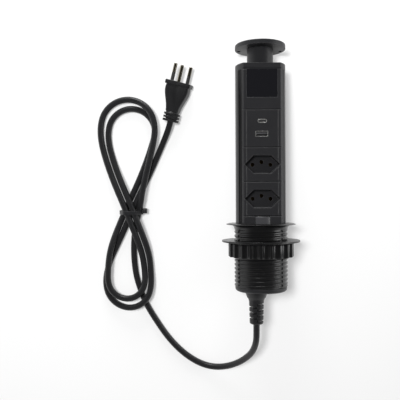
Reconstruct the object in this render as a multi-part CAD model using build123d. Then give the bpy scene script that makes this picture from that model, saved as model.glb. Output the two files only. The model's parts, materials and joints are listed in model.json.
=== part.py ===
from build123d import *
import math
import os

# A pop up desk socket: a round tower that slides up out of a threaded desk collar, with a blank
# bay, two USB outlets, two three pin sockets, a release button and a corded plug.
# Lengths are millimetres. The tower is drawn standing: its axis is Z, its outlets face -Y and
# the underside of the desk flange is Z = 0. Every standing piece is then laid on its back, as it
# lies in the photograph, resting on the rims of the clamp ring and of the pull knob.

# Clearances and overruns
fit_gap = 0.1        # between pieces of one body that slot together
slide_gap = 0.2      # between the tower and the collar it slides in
thread_gap = 0.25    # between the collar's thread crest and the rings on it
move_gap = 0.3       # between flat faces that move past each other
cut = 1.0            # overrun of every cut

# Tower section
tower_radius = 26.95
tile_face = 18.65        # flat front, in front of the axis
tile_seat = 16.6         # front edges of the profile, where the tiles sit
profile_wall = 1.8
groove_radius = 0.8
groove_angle = 62        # from the middle of the front
channel_radius = 2.9
channel_angle = 35       # behind the sides
screw_radius = 1.5
screw_head_radius = 2.2
screw_head_height = 1.7
screw_length = 12.0
inner_radius = tower_radius - profile_wall
channel_place = inner_radius - 0.85 * channel_radius

# Heights of the tiles on the tower, from the desk flange
tower_low = -4.0
latch_top = 9.6
socket_height = 36.1
usb_height = 39.7
blank_height = 42.4
lower_top = latch_top + socket_height
upper_top = lower_top + socket_height
usb_top = upper_top + usb_height
tower_top = usb_top + blank_height
tile_chamfer = 0.9
frame_groove_x = 16.65    # fine lines along the fronts of the tiles
frame_groove_width = 0.5
frame_groove_depth = 0.35

# Desk collar
collar_wall = 1.35
collar_length = 66.2
collar_chamfer = 0.8
flange_radius = 37.25
flange_thick = 1.3
flange_round = 0.4
flange_fillet = 5.0
lip_gap = 0.3
bore_radius = tower_radius + slide_gap
crest_radius = bore_radius + collar_wall
lip_low = tower_low + slide_gap

# Clamp ring and lock nut
ring_radius = 42.0
ring_thick = 1.8
ring_top = -16.8
ring_round = 0.4
nut_radius = 34.9
nut_height = 15.8
nut_rim = 1.2
nut_rim_radius = 34.0
nut_ribs = 20
nut_phase = -5.8
scallop_radius = 4.2
scallop_place = 36.0
nut_top = ring_top - ring_thick - slide_gap
nut_low = nut_top - nut_height

# Foot and base cap
foot_wall = 2.0
foot_plate = 2.5
foot_port_radius = 17.0
foot_low = -collar_length - slide_gap
cap_lip_radius = 27.8
cap_lip_height = 4.9
cap_round = 3.0
cap_spigot = 6.0
cap_spigot_wall = 2.0
foot_inner = tower_radius - foot_wall
cap_low = foot_low - cap_lip_height

# Cord and what holds it in the base
cord_diameter = 7.0
cord_radius = cord_diameter / 2
cord_x = -5.1
relief_flare_radius = 9.75
relief_tip_radius = 5.15
relief_length = 36.0
relief_stem_radius = 6.0
relief_head_radius = 8.0
relief_head_height = 2.5
relief_slots = 7
relief_slot_pitch = 2.95
relief_slot_start = 6.0
relief_slot_height = 1.7
relief_slot_floor = 4.3
relief_straight = 9.5    # cord straight below the relief
relief_tip = cap_low - relief_length
pedestal_half = 11.0
pedestal_depth = 8.0
pedestal_height = 12.0
clamp_bar_depth = 6.0
clamp_bar_height = 8.0
clamp_split = 0.6
clamp_screw_radius = 1.3
clamp_head_radius = 2.5
clamp_head_height = 2.0
clamp_screw_offset = 7.5
cord_inner_top = -44.0
wire_diameter = 2.2
wire_circle = 1.75

# End cap, neck and pull knob
end_cap_height = 6.4
end_cap_bevel_height = 2.1
end_cap_bevel_depth = 1.0
end_cap_spigot = 5.0
neck_radius = 14.05
neck_wall = 3.0
neck_height = 18.0
knob_radius = 27.1
knob_height = 4.9
knob_edge = 1.2
knob_top_wall = 2.2
knob_rim_wall = 0.9
underplate_thick = 1.4
knob_boss_radius = 6.0
knob_boss_length = 12.0
window_x = 22.4
window_y = 5.6
window_width = 3.3
window_depth = 5.0
bolt_radius = 2.5
bolt_head_radius = 4.5
bolt_head_height = 2.6
bolt_length = 22.0
end_cap_top = tower_top + end_cap_height
knob_low = end_cap_top + neck_height
knob_top = knob_low + knob_height

# Blank bay
gloss_thick = 0.8
gloss_half_width = 16.2
gloss_height = 29.6
gloss_top_margin = 0.2

# USB bay
usb_c_width = 9.6
usb_c_height = 3.9
usb_c_wall = 0.35
usb_c_drop = 12.3        # below the top of the bay
usb_c_tongue_width = 6.7
usb_c_tongue_thick = 0.7
usb_a_width = 13.1
usb_a_height = 5.7
usb_a_wall = 0.3
usb_a_drop = 25.8
usb_a_x = -0.6
usb_a_tongue_width = 11.1
usb_a_tongue_thick = 1.9
usb_a_tongue_lift = 0.7
shell_recess = 0.15      # shell's mouth, behind the tile's face
tongue_recess = 1.2
tongue_base = 2.0
board_front = 6.0        # in front of the axis
board_thick = 1.6
board_half_width = 17.0
board_low_margin = 4.0
board_height = 32.0
post_radius = 2.0
post_x = 14.0
post_margin = 3.0
board_screw_radius = 1.0
board_screw_length = 6.0
board_head_radius = 2.1
board_head_height = 1.2
transformer_width = 14.0
transformer_height = 13.0
transformer_depth = 10.0
transformer_x = -6.5
transformer_rise = 20.0
capacitor_radius = 4.0
capacitor_length = 12.0
capacitor_x = 9.0
capacitor_rises = (15.0, 25.5)
lead_rise = 5.0

# Sockets
pin_pitch = 19.0
earth_offset = 3.0
pin_radius = 2.0
recess_half_width = 18.3
recess_half_height = 9.05
recess_depth = 10.0
recess_floor = 2.0
recess_wall = 1.5
recess_chamfer = 0.8
pin_hole_radius = 2.15
contact_wall = 0.8
contact_slit = 0.8
contact_gap = 0.6        # behind the recess's floor
block_half_width = 14.5
block_half_height = 8.0
block_depth = 17.25
block_edge = 1.0
bus_width = 6.0
bus_thick = 0.8
bus_low = 12.0
bus_end = 9.0

# Release button
button_half_width = 7.6
button_side = 18.9
button_face = 21.0
button_low = -1.0
button_height = 10.0
button_edge = 0.8
button_flange = 1.5
button_flange_wing = 1.6
button_travel = 2.5
button_gap = 0.4
keyway_gap = 0.7
spring_radius = 2.7
spring_wire = 0.6
spring_turns = 6
spring_seat = 6.0
seat_thick = 1.5
seat_half_width = 11.5
seat_height = 8.0
button_middle = button_low + button_height / 2

# Plug
plug_rim_thick = 4.5
plug_length = 44.0
plug_grip = 28.0
plug_corner = 45
plug_half_width = 17.75
plug_half_height = 8.5
plug_edge = 0.8
plug_waist_shares = ((1.0, 0.80, 0.86), (0.62, 0.75, 0.83), (0.25, 0.62, 0.78), (0.0, 0.46, 0.72))
plug_neck_radius = 6.0
plug_neck_tip = 4.8
plug_ribs = 3
plug_rib_radius = 6.7
plug_rib_pitch = 4.4
plug_rib_height = 2.2
plug_rib_start = 2.0
pin_length = 19.0
pin_root = 6.0
pin_tip_round = 0.8
sleeve_length = 9.0
sleeve_wall = 0.3
pin_collar = 0.25
plug_turn = 14.1         # clockwise from the tower, seen from above
plug_roll = 28.5         # lies on one lower edge of its hexagon
plug_pitch = 5.0         # nose up, because the neck is thinner
plug_face_x = -87.6
plug_face_y = 156.1
plug_straight = 8.0      # cord straight behind the neck


def ring(outer, inner, low, high):
    """An upright tube between two heights."""
    tube_face = Circle(outer) - Circle(inner)
    return extrude(Pos(0, 0, low) * tube_face, high - low)


def rod(radius, low, high):
    """An upright round bar between two heights."""
    return extrude(Pos(0, 0, low) * Circle(radius), high - low)


def block(x_span, y_span, z_span):
    """A box from its spans along the three axes."""
    size = [span[1] - span[0] for span in (x_span, y_span, z_span)]
    middle = [(span[0] + span[1]) / 2 for span in (x_span, y_span, z_span)]
    return Pos(*middle) * Box(*size)


def across(sketch, front, back, x=0, z=0):
    """A sketch seen from the front, pushed through the tower from one depth to another."""
    plane = Plane(origin=(x, -front, z), x_dir=(1, 0, 0), z_dir=(0, 1, 0))
    return extrude(plane * sketch, front - back)


def hexagon(half_width, half_height):
    """A rectangle whose ends are brought to points at 45 degrees."""
    shoulder = half_width - half_height
    points = [
        (half_width, 0),
        (shoulder, half_height),
        (-shoulder, half_height),
        (-half_width, 0),
        (-shoulder, -half_height),
        (shoulder, -half_height),
    ]
    return make_face(Polyline(*points, close=True))


def channel_places():
    """The two screw channels inside the profile."""
    turn = math.radians(channel_angle)
    reach = channel_place * math.cos(turn)
    return [(side * reach, channel_place * math.sin(turn)) for side in (-1, 1)]


def front_half(depth):
    """A tall box that holds everything further forward than a depth."""
    reach = 2 * ring_radius
    tall = 2 * (knob_top - relief_tip)
    return block((-reach, reach), (-reach, -depth), (-tall, tall))


def tower_profile():
    """The extruded half shell that carries the tiles."""
    section = Circle(tower_radius) - Circle(inner_radius)
    for x, y in channel_places():
        section += Pos(x, y) * Circle(channel_radius)
    for x, y in channel_places():
        section -= Pos(x, y) * Circle(screw_radius)
    for side in (-1, 1):
        turn = math.radians(groove_angle)
        groove = Pos(side * tower_radius * math.sin(turn), -tower_radius * math.cos(turn))
        section -= groove * Circle(groove_radius)
    shell = extrude(Pos(0, 0, tower_low) * section, tower_top - tower_low)
    return shell - front_half(tile_seat)


def tile(low, high):
    """One front tile: a segment of the tower's circle with bevelled ends."""
    body = rod(tower_radius, low, high) - front_half(tile_face)
    body &= front_half(tile_seat)
    ends = [e for e in body.edges().filter_by(Axis.X) if e.center().Y < -(tile_face + tile_seat) / 2]
    return chamfer(ends, tile_chamfer)


def frame_grooves(low, high):
    """The cutters of the two fine lines along the front of a tile."""
    depth_span = (-tile_face - cut, -tile_face + frame_groove_depth)
    half = frame_groove_width / 2
    cutters = []
    for side in (-1, 1):
        middle = side * frame_groove_x
        cutters.append(block((middle - half, middle + half), depth_span, (low - cut, high + cut)))
    return cutters


def foot():
    """The round guide foot that stays in the collar, under the profile."""
    body = ring(tower_radius, foot_inner, foot_low, tower_low - foot_plate)
    body += ring(tower_radius, foot_port_radius, tower_low - foot_plate, tower_low)
    for x, y in channel_places():
        body -= Pos(x, y) * rod(screw_radius + fit_gap, tower_low - foot_plate - cut, tower_low + cut)
    return body


def foot_screws():
    """Two screws up through the foot's plate into the profile's channels."""
    seat = tower_low - foot_plate
    screws = []
    for x, y in channel_places():
        shank = rod(screw_radius, seat, seat + screw_length)
        head = rod(screw_head_radius, seat - screw_head_height, seat)
        screws.append(Pos(x, y) * (shank + head))
    return screws


def cap_screws():
    """Two countersunk screws down through the end cap into the channels."""
    screws = []
    for x, y in channel_places():
        shank = rod(screw_radius, end_cap_top - screw_length, end_cap_top)
        screws.append(Pos(x, y) * (shank + countersink(screw_head_radius)))
    return screws


def countersink(radius):
    """The cone of a countersunk head, flush with the end cap."""
    face = Plane(origin=(0, 0, end_cap_top), z_dir=(0, 0, -1))
    return extrude(face * Circle(radius), radius - screw_radius, taper=plug_corner)


def base_cap():
    """The cap that closes the foot, with the cord's pedestal standing on it."""
    body = rod(cap_lip_radius, cap_low, foot_low)
    body = fillet(body.edges().sort_by(Axis.Z)[0], cap_round)
    body += ring(foot_inner, foot_inner - cap_spigot_wall, foot_low, foot_low + cap_spigot)
    pedestal_x = (cord_x - pedestal_half, cord_x + pedestal_half)
    pedestal = block(pedestal_x, (clamp_split, pedestal_depth), (foot_low, foot_low + pedestal_height))
    stem_clear = relief_head_radius + fit_gap
    pedestal -= Pos(cord_x, 0) * rod(stem_clear, foot_low, foot_low + relief_head_height + fit_gap)
    body += pedestal
    bore = rod(relief_stem_radius + fit_gap, cap_low - cut, foot_low + cut)
    bore += rod(cord_radius + fit_gap, foot_low, foot_low + pedestal_height + cut)
    body -= Pos(cord_x, 0) * bore
    for x, z in clamp_screw_places():
        hole = Circle(clamp_screw_radius + fit_gap)
        body -= across(hole, 0, -pedestal_depth - cut, x, z)
    return body


def clamp_screw_places():
    """The two clamp screws, either side of the cord."""
    level = foot_low + pedestal_height - clamp_bar_height / 2
    return [(cord_x + side * clamp_screw_offset, level) for side in (-1, 1)]


def cord_clamp():
    """The bar that holds the cord against its pedestal."""
    high = foot_low + pedestal_height
    spans = (cord_x - pedestal_half, cord_x + pedestal_half), (-clamp_bar_depth, -clamp_split)
    bar = block(*spans, (high - clamp_bar_height, high))
    bar = fillet(bar.edges().filter_by(Axis.Z), clamp_split)
    bar -= Pos(cord_x, 0) * rod(cord_radius + fit_gap, foot_low, high + cut)
    for x, z in clamp_screw_places():
        bar -= across(Circle(clamp_screw_radius + fit_gap), clamp_bar_depth + cut, 0, x, z)
    return bar


def clamp_screws():
    """The clamp's two screws."""
    screws = []
    for x, z in clamp_screw_places():
        shank = across(Circle(clamp_screw_radius), clamp_bar_depth, -pedestal_depth, x, z)
        head_top = clamp_bar_depth + clamp_head_height
        head = across(Circle(clamp_head_radius), head_top, clamp_bar_depth, x, z)
        screws.append(shank + head)
    return screws


def strain_relief():
    """The tapered sleeve that the cord comes out of, slotted on alternate sides."""
    neck_top = foot_low + relief_head_height
    outline = [
        (cord_radius + fit_gap, relief_tip),
        (relief_tip_radius, relief_tip),
        (relief_tip_radius + slot_step(), relief_tip + relief_length / 2),
        (relief_flare_radius, cap_low),
        (relief_stem_radius, cap_low),
        (relief_stem_radius, foot_low),
        (relief_head_radius, foot_low),
        (relief_head_radius, neck_top),
        (cord_radius + fit_gap, neck_top),
    ]
    face = make_face(Plane.XZ * Polyline(*outline, close=True))
    body = revolve(face, Axis.Z)
    for number in range(relief_slots):
        side = 1 if number % 2 == 0 else -1
        low = cap_low - relief_slot_start - (number + 1) * relief_slot_pitch
        band = block(
            (0, side * relief_flare_radius) if side > 0 else (-relief_flare_radius, 0),
            (-relief_flare_radius, relief_flare_radius),
            (low, low + relief_slot_height),
        )
        body -= band - rod(relief_slot_floor, low - cut, low + relief_slot_height + cut)
    return Pos(cord_x, 0) * body


def slot_step():
    """How much wider the relief is at its middle than at its tip."""
    return (relief_flare_radius - relief_tip_radius) / 4


def cord_inner():
    """The cord where the strain relief and the clamp hold it."""
    return Pos(cord_x, 0) * rod(cord_radius, relief_tip, cord_inner_top)


def collar_tube():
    """The desk collar: flange, threaded tube at its crest size, and the lip that keys the tower."""
    low = -collar_length
    start = (bore_radius, low)
    outline = Polyline(
        start,
        (crest_radius - collar_chamfer, low),
        (crest_radius, low + collar_chamfer),
        (crest_radius, -flange_fillet),
    )
    bend = RadiusArc((crest_radius, -flange_fillet), (crest_radius + flange_fillet, 0), flange_fillet)
    top = Polyline(
        (crest_radius + flange_fillet, 0),
        (flange_radius, 0),
        (flange_radius, flange_thick - flange_round),
        (flange_radius - flange_round, flange_thick),
        (bore_radius, flange_thick),
        start,
    )
    body = revolve(make_face(Plane.XZ * (outline + bend + top)), Axis.Z)
    lip = rod(bore_radius + collar_wall / 2, lip_low, flange_thick)
    lip &= front_half(tile_face + lip_gap)
    key_half = button_half_width + keyway_gap
    lip -= block((-key_half, key_half), (-button_face - move_gap, 0), (lip_low - cut, flange_thick + cut))
    return body + lip


def clamp_ring():
    """The flat ring that bears on the underside of the desk."""
    body = ring(ring_radius, crest_radius + thread_gap, ring_top - ring_thick, ring_top)
    rims = [e for e in body.edges() if e.bounding_box().size.X > 2 * (ring_radius - fit_gap)]
    return fillet(rims, ring_round)


def lock_nut():
    """The ribbed ring nut under the clamp ring."""
    body = ring(nut_radius, crest_radius + thread_gap, nut_low, nut_top - nut_rim)
    for number in range(nut_ribs):
        turn = math.radians(nut_phase + 360 / nut_ribs * (number + 0.5))
        x, y = scallop_place * math.sin(turn), -scallop_place * math.cos(turn)
        body -= Pos(x, y) * rod(scallop_radius, nut_low - cut, nut_top)
    return body + ring(nut_rim_radius, crest_radius + thread_gap, nut_top - nut_rim, nut_top)


def end_cap():
    """The D shaped cap on the top of the tower."""
    body = rod(tower_radius, tower_top, end_cap_top) - front_half(tile_face)
    bevel = [
        (-tile_face - cut, tower_top),
        (-tile_face + end_cap_bevel_depth, tower_top),
        (-tile_face, tower_top + end_cap_bevel_height),
        (-tile_face - cut, tower_top + end_cap_bevel_height),
    ]
    face = make_face(Plane.YZ * Polyline(*bevel, close=True))
    body -= extrude(face, tower_radius, both=True)
    spigot_radius = inner_radius - fit_gap
    spigot = ring(spigot_radius, spigot_radius - profile_wall, tower_top - end_cap_spigot, tower_top)
    spigot -= front_half(tile_seat - fit_gap)
    for x, y in channel_places():
        spigot -= Pos(x, y) * rod(channel_radius + fit_gap, tower_top - end_cap_spigot, tower_top)
        hole = rod(screw_radius + fit_gap, tower_top - cut, end_cap_top + cut)
        body -= Pos(x, y) * (hole + countersink(screw_head_radius + fit_gap))
    body -= rod(bolt_radius + fit_gap, tower_top - cut, end_cap_top + cut)
    return body + spigot


def neck():
    """The plain tube between the end cap and the knob."""
    return ring(neck_radius, neck_radius - neck_wall, end_cap_top, knob_low)


def neck_bolt():
    """The bolt that draws the knob, neck and end cap together."""
    head = rod(bolt_head_radius, tower_top - bolt_head_height, tower_top)
    return head + rod(bolt_radius, tower_top, tower_top + bolt_length)


def knob_shell():
    """The pull knob: a shallow cup with a threaded boss and two snap hooks."""
    body = rod(knob_radius, knob_low, knob_top)
    body = fillet(body.edges().sort_by(Axis.Z)[-1], knob_edge)
    body -= rod(knob_radius - knob_rim_wall, knob_low - cut, knob_top - knob_top_wall)
    boss_low = knob_low - knob_boss_length
    boss = rod(knob_boss_radius, boss_low, knob_top - knob_top_wall)
    boss -= rod(bolt_radius + fit_gap, boss_low - cut, tower_top + bolt_length + cut)
    for side in (-1, 1):
        hook_x = (side * window_x - window_width / 3, side * window_x + window_width / 3)
        hook_y = (window_y - window_depth / 3, window_y + window_depth / 3)
        hook = block(hook_x, hook_y, (knob_low + underplate_thick / 2, knob_top - knob_top_wall))
        body += hook
    return body + boss


def knob_underplate():
    """The disc that closes the knob from below, with windows for its hooks."""
    outer = knob_radius - knob_rim_wall - fit_gap
    body = ring(outer, knob_boss_radius + fit_gap, knob_low, knob_low + underplate_thick)
    for side in (-1, 1):
        x_span = (side * window_x - window_width / 2, side * window_x + window_width / 2)
        y_span = (window_y - window_depth / 2, window_y + window_depth / 2)
        body -= block(x_span, y_span, (knob_low - cut, knob_low + underplate_thick + cut))
    return body


def gloss_span():
    """The heights between which the gloss panel is let in."""
    high = tower_top - gloss_top_margin
    return high - gloss_height, high


def blank_tile():
    """The tile of the blank bay, with a shallow pocket for its gloss panel."""
    low, high = gloss_span()
    half = gloss_half_width + fit_gap
    pocket = block((-half, half), (-tile_face - cut, -tile_face + gloss_thick), (low - fit_gap, high + cut))
    return tile(usb_top, tower_top) - pocket


def gloss_panel():
    """The polished panel in the blank bay."""
    low, high = gloss_span()
    spans = (-gloss_half_width, gloss_half_width), (-tile_face, -tile_face + gloss_thick)
    return block(*spans, (low, high))


def usb_c_outline(wall):
    """The rounded outline of the small outlet, a wall inside its outer size."""
    width = usb_c_width - 2 * wall
    height = usb_c_height - 2 * wall
    return SlotOverall(width, height)


def usb_a_outline(wall):
    """The outline of the larger outlet, a wall inside its outer size."""
    return Rectangle(usb_a_width - 2 * wall, usb_a_height - 2 * wall)


def board_span():
    """The heights of the charger board."""
    low = upper_top + board_low_margin
    return low, low + board_height


def post_places():
    """The four posts that carry the charger board."""
    low, high = board_span()
    return [(side * post_x, z) for side in (-1, 1) for z in (low + post_margin, high - post_margin)]


def usb_plate():
    """The tile of the USB bay, with its two mouths and four board posts."""
    body = tile(upper_top, usb_top)
    mouth_c = across(usb_c_outline(-fit_gap), tile_face + cut, tile_seat - cut, 0, usb_top - usb_c_drop)
    mouth_a = across(usb_a_outline(-fit_gap), tile_face + cut, tile_seat - cut, usb_a_x, usb_top - usb_a_drop)
    body = body - mouth_c - mouth_a
    for x, z in post_places():
        post = across(Circle(post_radius), tile_seat, board_front, x, z)
        hole_front = board_front + board_screw_length - board_thick
        hole = across(Circle(board_screw_radius + fit_gap / 2), hole_front, board_front - cut, x, z)
        body += post - hole
    return body - frame_grooves(upper_top, usb_top)


def usb_c_shell():
    """The steel shell of the small outlet."""
    tube_face = usb_c_outline(0) - usb_c_outline(usb_c_wall)
    return across(tube_face, tile_face - shell_recess, board_front, 0, usb_top - usb_c_drop)


def usb_c_tongue():
    """The contact tongue inside the small outlet."""
    z = usb_top - usb_c_drop
    base = across(usb_c_outline(usb_c_wall), board_front + tongue_base, board_front, 0, z)
    blade_face = Rectangle(usb_c_tongue_width, usb_c_tongue_thick)
    return base + across(blade_face, tile_face - tongue_recess, board_front + tongue_base, 0, z)


def usb_a_shell():
    """The steel shell of the larger outlet."""
    tube_face = usb_a_outline(0) - usb_a_outline(usb_a_wall)
    return across(tube_face, tile_face - shell_recess, board_front, usb_a_x, usb_top - usb_a_drop)


def usb_a_tongue():
    """The contact tongue inside the larger outlet."""
    z = usb_top - usb_a_drop
    base = across(usb_a_outline(usb_a_wall), board_front + tongue_base, board_front, usb_a_x, z)
    blade_face = Rectangle(usb_a_tongue_width, usb_a_tongue_thick)
    blade_z = z + usb_a_tongue_lift
    blade = across(blade_face, tile_face - tongue_recess, board_front + tongue_base, usb_a_x, blade_z)
    return base + blade


def usb_board():
    """The charger's circuit board, across the tower behind the outlets."""
    low, high = board_span()
    body = block((-board_half_width, board_half_width), (-board_front, -board_front + board_thick), (low, high))
    for x, z in post_places():
        body -= across(Circle(board_screw_radius + fit_gap), board_front + cut, board_front - board_thick - cut, x, z)
    return body


def board_screws():
    """The four screws that hold the board to its posts."""
    back = board_front - board_thick
    screws = []
    for x, z in post_places():
        shank = across(Circle(board_screw_radius), back + board_screw_length - cut, back, x, z)
        head = across(Circle(board_head_radius), back, back - board_head_height, x, z)
        screws.append(shank + head)
    return screws


def charger_parts():
    """The transformer and two capacitors on the back of the board."""
    low = board_span()[0]
    back = -board_front + board_thick
    half = transformer_width / 2
    middle = low + transformer_rise
    core = block(
        (transformer_x - half, transformer_x + half),
        (back, back + transformer_depth),
        (middle - transformer_height / 2, middle + transformer_height / 2),
    )
    pieces = [chamfer(core.edges().filter_by(Axis.Y), block_edge)]
    for rise in capacitor_rises:
        can = across(Circle(capacitor_radius), -back, -back - capacitor_length, capacitor_x, low + rise)
        pieces.append(can)
    return pieces


def recess_floor_depth():
    """The front of the socket's floor, in front of the axis."""
    return tile_face - recess_depth


def socket_plate(low, high):
    """One socket tile: the hexagonal recess, its cup behind the tile and three pin holes."""
    middle = socket_middle(low)
    outline = hexagon(recess_half_width, recess_half_height)
    back = recess_floor_depth() - recess_floor
    cup = across(offset(outline, recess_wall, kind=Kind.INTERSECTION), tile_seat, back, 0, middle)
    cup &= rod(inner_radius - fit_gap, low, high)
    body = tile(low, high) + cup
    body -= across(outline, tile_face + cut, recess_floor_depth(), 0, middle)
    rim = [
        e
        for e in body.edges().filter_by(GeomType.LINE)
        if abs(e.center().Y + tile_face) < fit_gap
        and abs(e.center().Z - middle) < recess_half_height + fit_gap
        and abs(e.center().X) < recess_half_width
    ]
    body = chamfer(rim, recess_chamfer)
    for x, z in pin_places(middle):
        body -= across(Circle(pin_hole_radius), recess_floor_depth() + cut, back - cut, x, z)
    return body - frame_grooves(low, high)


def socket_middle(low):
    """The height of a socket's middle, from the foot of its tile."""
    return low + socket_height / 2


def pin_places(middle):
    """The line, neutral and earth places of a socket, the earth nearer the cap."""
    return [(-pin_pitch / 2, middle), (pin_pitch / 2, middle), (0, middle + earth_offset)]


def block_back():
    """The back of the contact blocks and the front of the bus bars, in front of the axis."""
    return recess_floor_depth() - recess_floor - block_depth


def contact_block(low):
    """The insulating block behind a socket, bored for its contacts."""
    middle = socket_middle(low)
    front = recess_floor_depth() - recess_floor
    body = across(Rectangle(2 * block_half_width, 2 * block_half_height), front, block_back(), 0, middle)
    body = chamfer(body.edges().filter_by(Axis.Y), block_edge)
    for x, z in pin_places(middle):
        body -= across(Circle(contact_outer() + fit_gap), front + cut, block_back() - cut, x, z)
    return body


def contact_outer():
    """The outer radius of a contact tube."""
    return pin_radius + fit_gap / 2 + contact_wall


def contacts(low):
    """The three split contact tubes of a socket."""
    front = recess_floor_depth() - recess_floor - contact_gap
    slit = Pos(0, contact_outer()) * Rectangle(contact_slit, 2 * contact_outer())
    tube_face = Circle(contact_outer()) - Circle(contact_outer() - contact_wall) - slit
    return [across(tube_face, front, block_back(), x, z) for x, z in pin_places(socket_middle(low))]


def bus_bar(x, rise):
    """A bus bar on the backs of the contacts of both sockets."""
    high = socket_middle(lower_top) + rise + bus_end
    back = -block_back()
    return block((x - bus_width / 2, x + bus_width / 2), (back, back + bus_thick), (bus_low, high))


def bus_top(rise):
    """The top of a bus bar."""
    return socket_middle(lower_top) + rise + bus_end


def latch_panel():
    """The lowest tile, open at its top round the release button."""
    half = button_half_width + button_gap
    body = tile(tower_low, latch_top)
    window = block((-half, half), (-tile_face - cut, 0), (button_low - button_gap, latch_top + cut))
    return body - window


def latch_button():
    """The release button: a curved face on a stem with a wide flange behind the panel."""
    high = button_low + button_height
    side = (button_half_width, -button_side)
    far_side = (-button_half_width, -button_side)
    flange_front = -(tile_seat - move_gap)
    crown = ThreePointArc(side, (0, -button_face), far_side)
    sides = Polyline(far_side, (-button_half_width, flange_front), (button_half_width, flange_front), side)
    body = extrude(Pos(0, 0, button_low) * make_face(crown + sides), button_height)
    front_edges = [e for e in body.edges() if abs(e.center().Y + button_face) < button_face - button_side]
    rims = [e for e in front_edges if e.bounding_box().size.X > button_half_width]
    body = chamfer(rims, button_edge)
    wing = button_half_width + button_flange_wing
    flange_back = flange_front + button_flange
    flange = block((-wing, wing), (flange_front, flange_back), (button_low, high - button_gap))
    return body + flange


def button_back():
    """The back of the button's flange, in front of the axis."""
    return tile_seat - move_gap - button_flange


def latch_spring():
    """The return spring, wound of quarter turns, each made of two tangent arcs."""
    length = button_back() - spring_seat - spring_wire
    start = spring_seat + spring_wire / 2
    quarters = 4 * spring_turns
    rise = length / quarters
    slope = 4 * rise / (2 * math.pi * spring_radius)

    def point(number):
        turn = math.pi / 2 * number
        return Vector(spring_radius * math.cos(turn), -start - rise * number, spring_radius * math.sin(turn))

    def heading(number):
        turn = math.pi / 2 * number
        return Vector(-math.sin(turn), -slope, math.cos(turn)).normalized()

    arcs = []
    for number in range(quarters):
        arcs += biarc(point(number), heading(number), point(number + 1), heading(number + 1))
    line = Wire(arcs)
    begin = Plane(origin=line @ 0, z_dir=line % 0)
    return Pos(0, 0, button_middle) * sweep(begin * Circle(spring_wire / 2), path=line)


def biarc(start, leaving, end, arriving):
    """Two arcs tangent to each other that join two points with given headings."""
    chord = end - start
    both = leaving + arriving
    bend = 2 * (1 - leaving.dot(arriving))
    along = chord.dot(both)
    reach = (math.sqrt(along**2 + bend * chord.dot(chord)) - along) / bend
    first_corner = start + leaving * reach
    last_corner = end - arriving * reach
    joint = (first_corner + last_corner) / 2
    heading = (last_corner - first_corner).normalized()
    return [TangentArc(start, joint, tangent=leaving), TangentArc(joint, end, tangent=heading)]


def latch_seat():
    """The bracket behind the latch panel that backs the spring."""
    low, high = button_middle - seat_height / 2, button_middle + seat_height / 2
    inner = seat_half_width - seat_thick
    outer = block((-seat_half_width, seat_half_width), (-tile_seat, -spring_seat + seat_thick), (low, high))
    return outer - block((-inner, inner), (-tile_seat - cut, -spring_seat), (low - cut, high + cut))


# How it lies: the line that touches the rounded rims of the clamp ring and the knob is the floor
ring_rim = (ring_top - ring_round, -(ring_radius - ring_round))
knob_rim = (knob_top - knob_edge, -(knob_radius - knob_edge))
rim_line = (knob_rim[0] - ring_rim[0], knob_rim[1] - ring_rim[1])
lean = math.atan2(rim_line[1], rim_line[0]) - math.asin((knob_edge - ring_round) / math.hypot(*rim_line))
floor = ring_rim[1] * math.cos(lean) - ring_rim[0] * math.sin(lean) - ring_round
lay_down = Rot(-90 - math.degrees(lean), 0, 0)

# The cord's route, from the strain relief to the plug. Places along the floor are given from the
# tower's axis, and in the hank from the middle of its tie. A lay share of 1 lies on one of 0.
tie_x = -144.2
tie_y = 10.5
lay_pitch = 7.6
waist_lift = 1.8
waist_reach = 24.0
bend_share = 0.45
lower_split_share = 0.45
upper_split_share = 0.63

lower_route = [
    (-5.1, -127.8, 42.6),
    (-7.7, -140.6, 35.2),
    (-14.0, -151.4, 25.8),
    (-23.1, -160.6, 17.2),
    (-34.7, -167.4, 9.6),
    (-48.5, -170.9, 3.4),
    (-62.4, -169.1, 0.0),
    (-76.4, -161.8, 0.0),
    (-90.9, -150.2, 0.0),
    (-104.2, -135.2, 0.0),
    (-116.1, -117.5, 0.0),
]
upper_route = [
    (-104.9, 94.4, 1.4),
]

tail_in = [
    (15.6, -106.5), (6.0, -80.0), (3.0, -62.0), (2.0, -44.5), (2.9, -27.5), (5.4, -13.0),
    (9.4, 0.0), (12.2, 12.0), (14.0, 25.0), (16.8, 38.0), (20.3, 52.5), (24.0, 67.5), (27.2, 82.0),
]
tail_in_lay_shares = (0, 0, 0, 0, 0, 0, 0.05, 0.9, 1, 1, 1, 1, 1)
outer_down = [
    (-33.3, 80.0), (-29.2, 63.0), (-23.3, 45.5), (-16.2, 28.5), (-9.2, 11.5), (-2.7, -5.5),
    (3.7, -22.0), (9.0, -37.5), (12.4, -51.5), (14.2, -65.0),
]
outer_down_lay_shares = (0, 0, 0.35, 0.95, 1, 1, 1, 0.9, 0.3, 0.3)
inner_up = [
    (-27.0, -66.0), (-25.9, -53.0), (-23.2, -39.5), (-18.9, -25.0), (-12.1, -8.5), (-4.3, 9.0),
    (3.6, 25.0), (10.7, 41.0), (17.2, 56.5), (22.6, 71.5),
]
inner_up_lay_shares = (1, 1.05, 1, 0.3, 0, 0, 0, 0, 0, 0)
inner_down = [
    (-24.0, 76.0), (-19.9, 61.0), (-14.2, 45.0), (-7.3, 28.5), (-0.2, 11.5), (6.0, -5.5),
    (12.0, -22.0), (17.4, -37.5), (20.6, -51.5), (22.0, -67.0),
]
inner_down_lay_shares = (0, 0, 0.4, 0.95, 1, 1, 1, 0.9, 0.3, 0.3)
outer_up = [
    (-29.4, -69.5), (-24.2, -53.0), (-16.4, -37.0), (-8.4, -20.0), (-0.2, -1.5), (8.0, 16.5),
    (16.6, 33.5), (24.6, 50.5), (34.6, 73.0),
]
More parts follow.
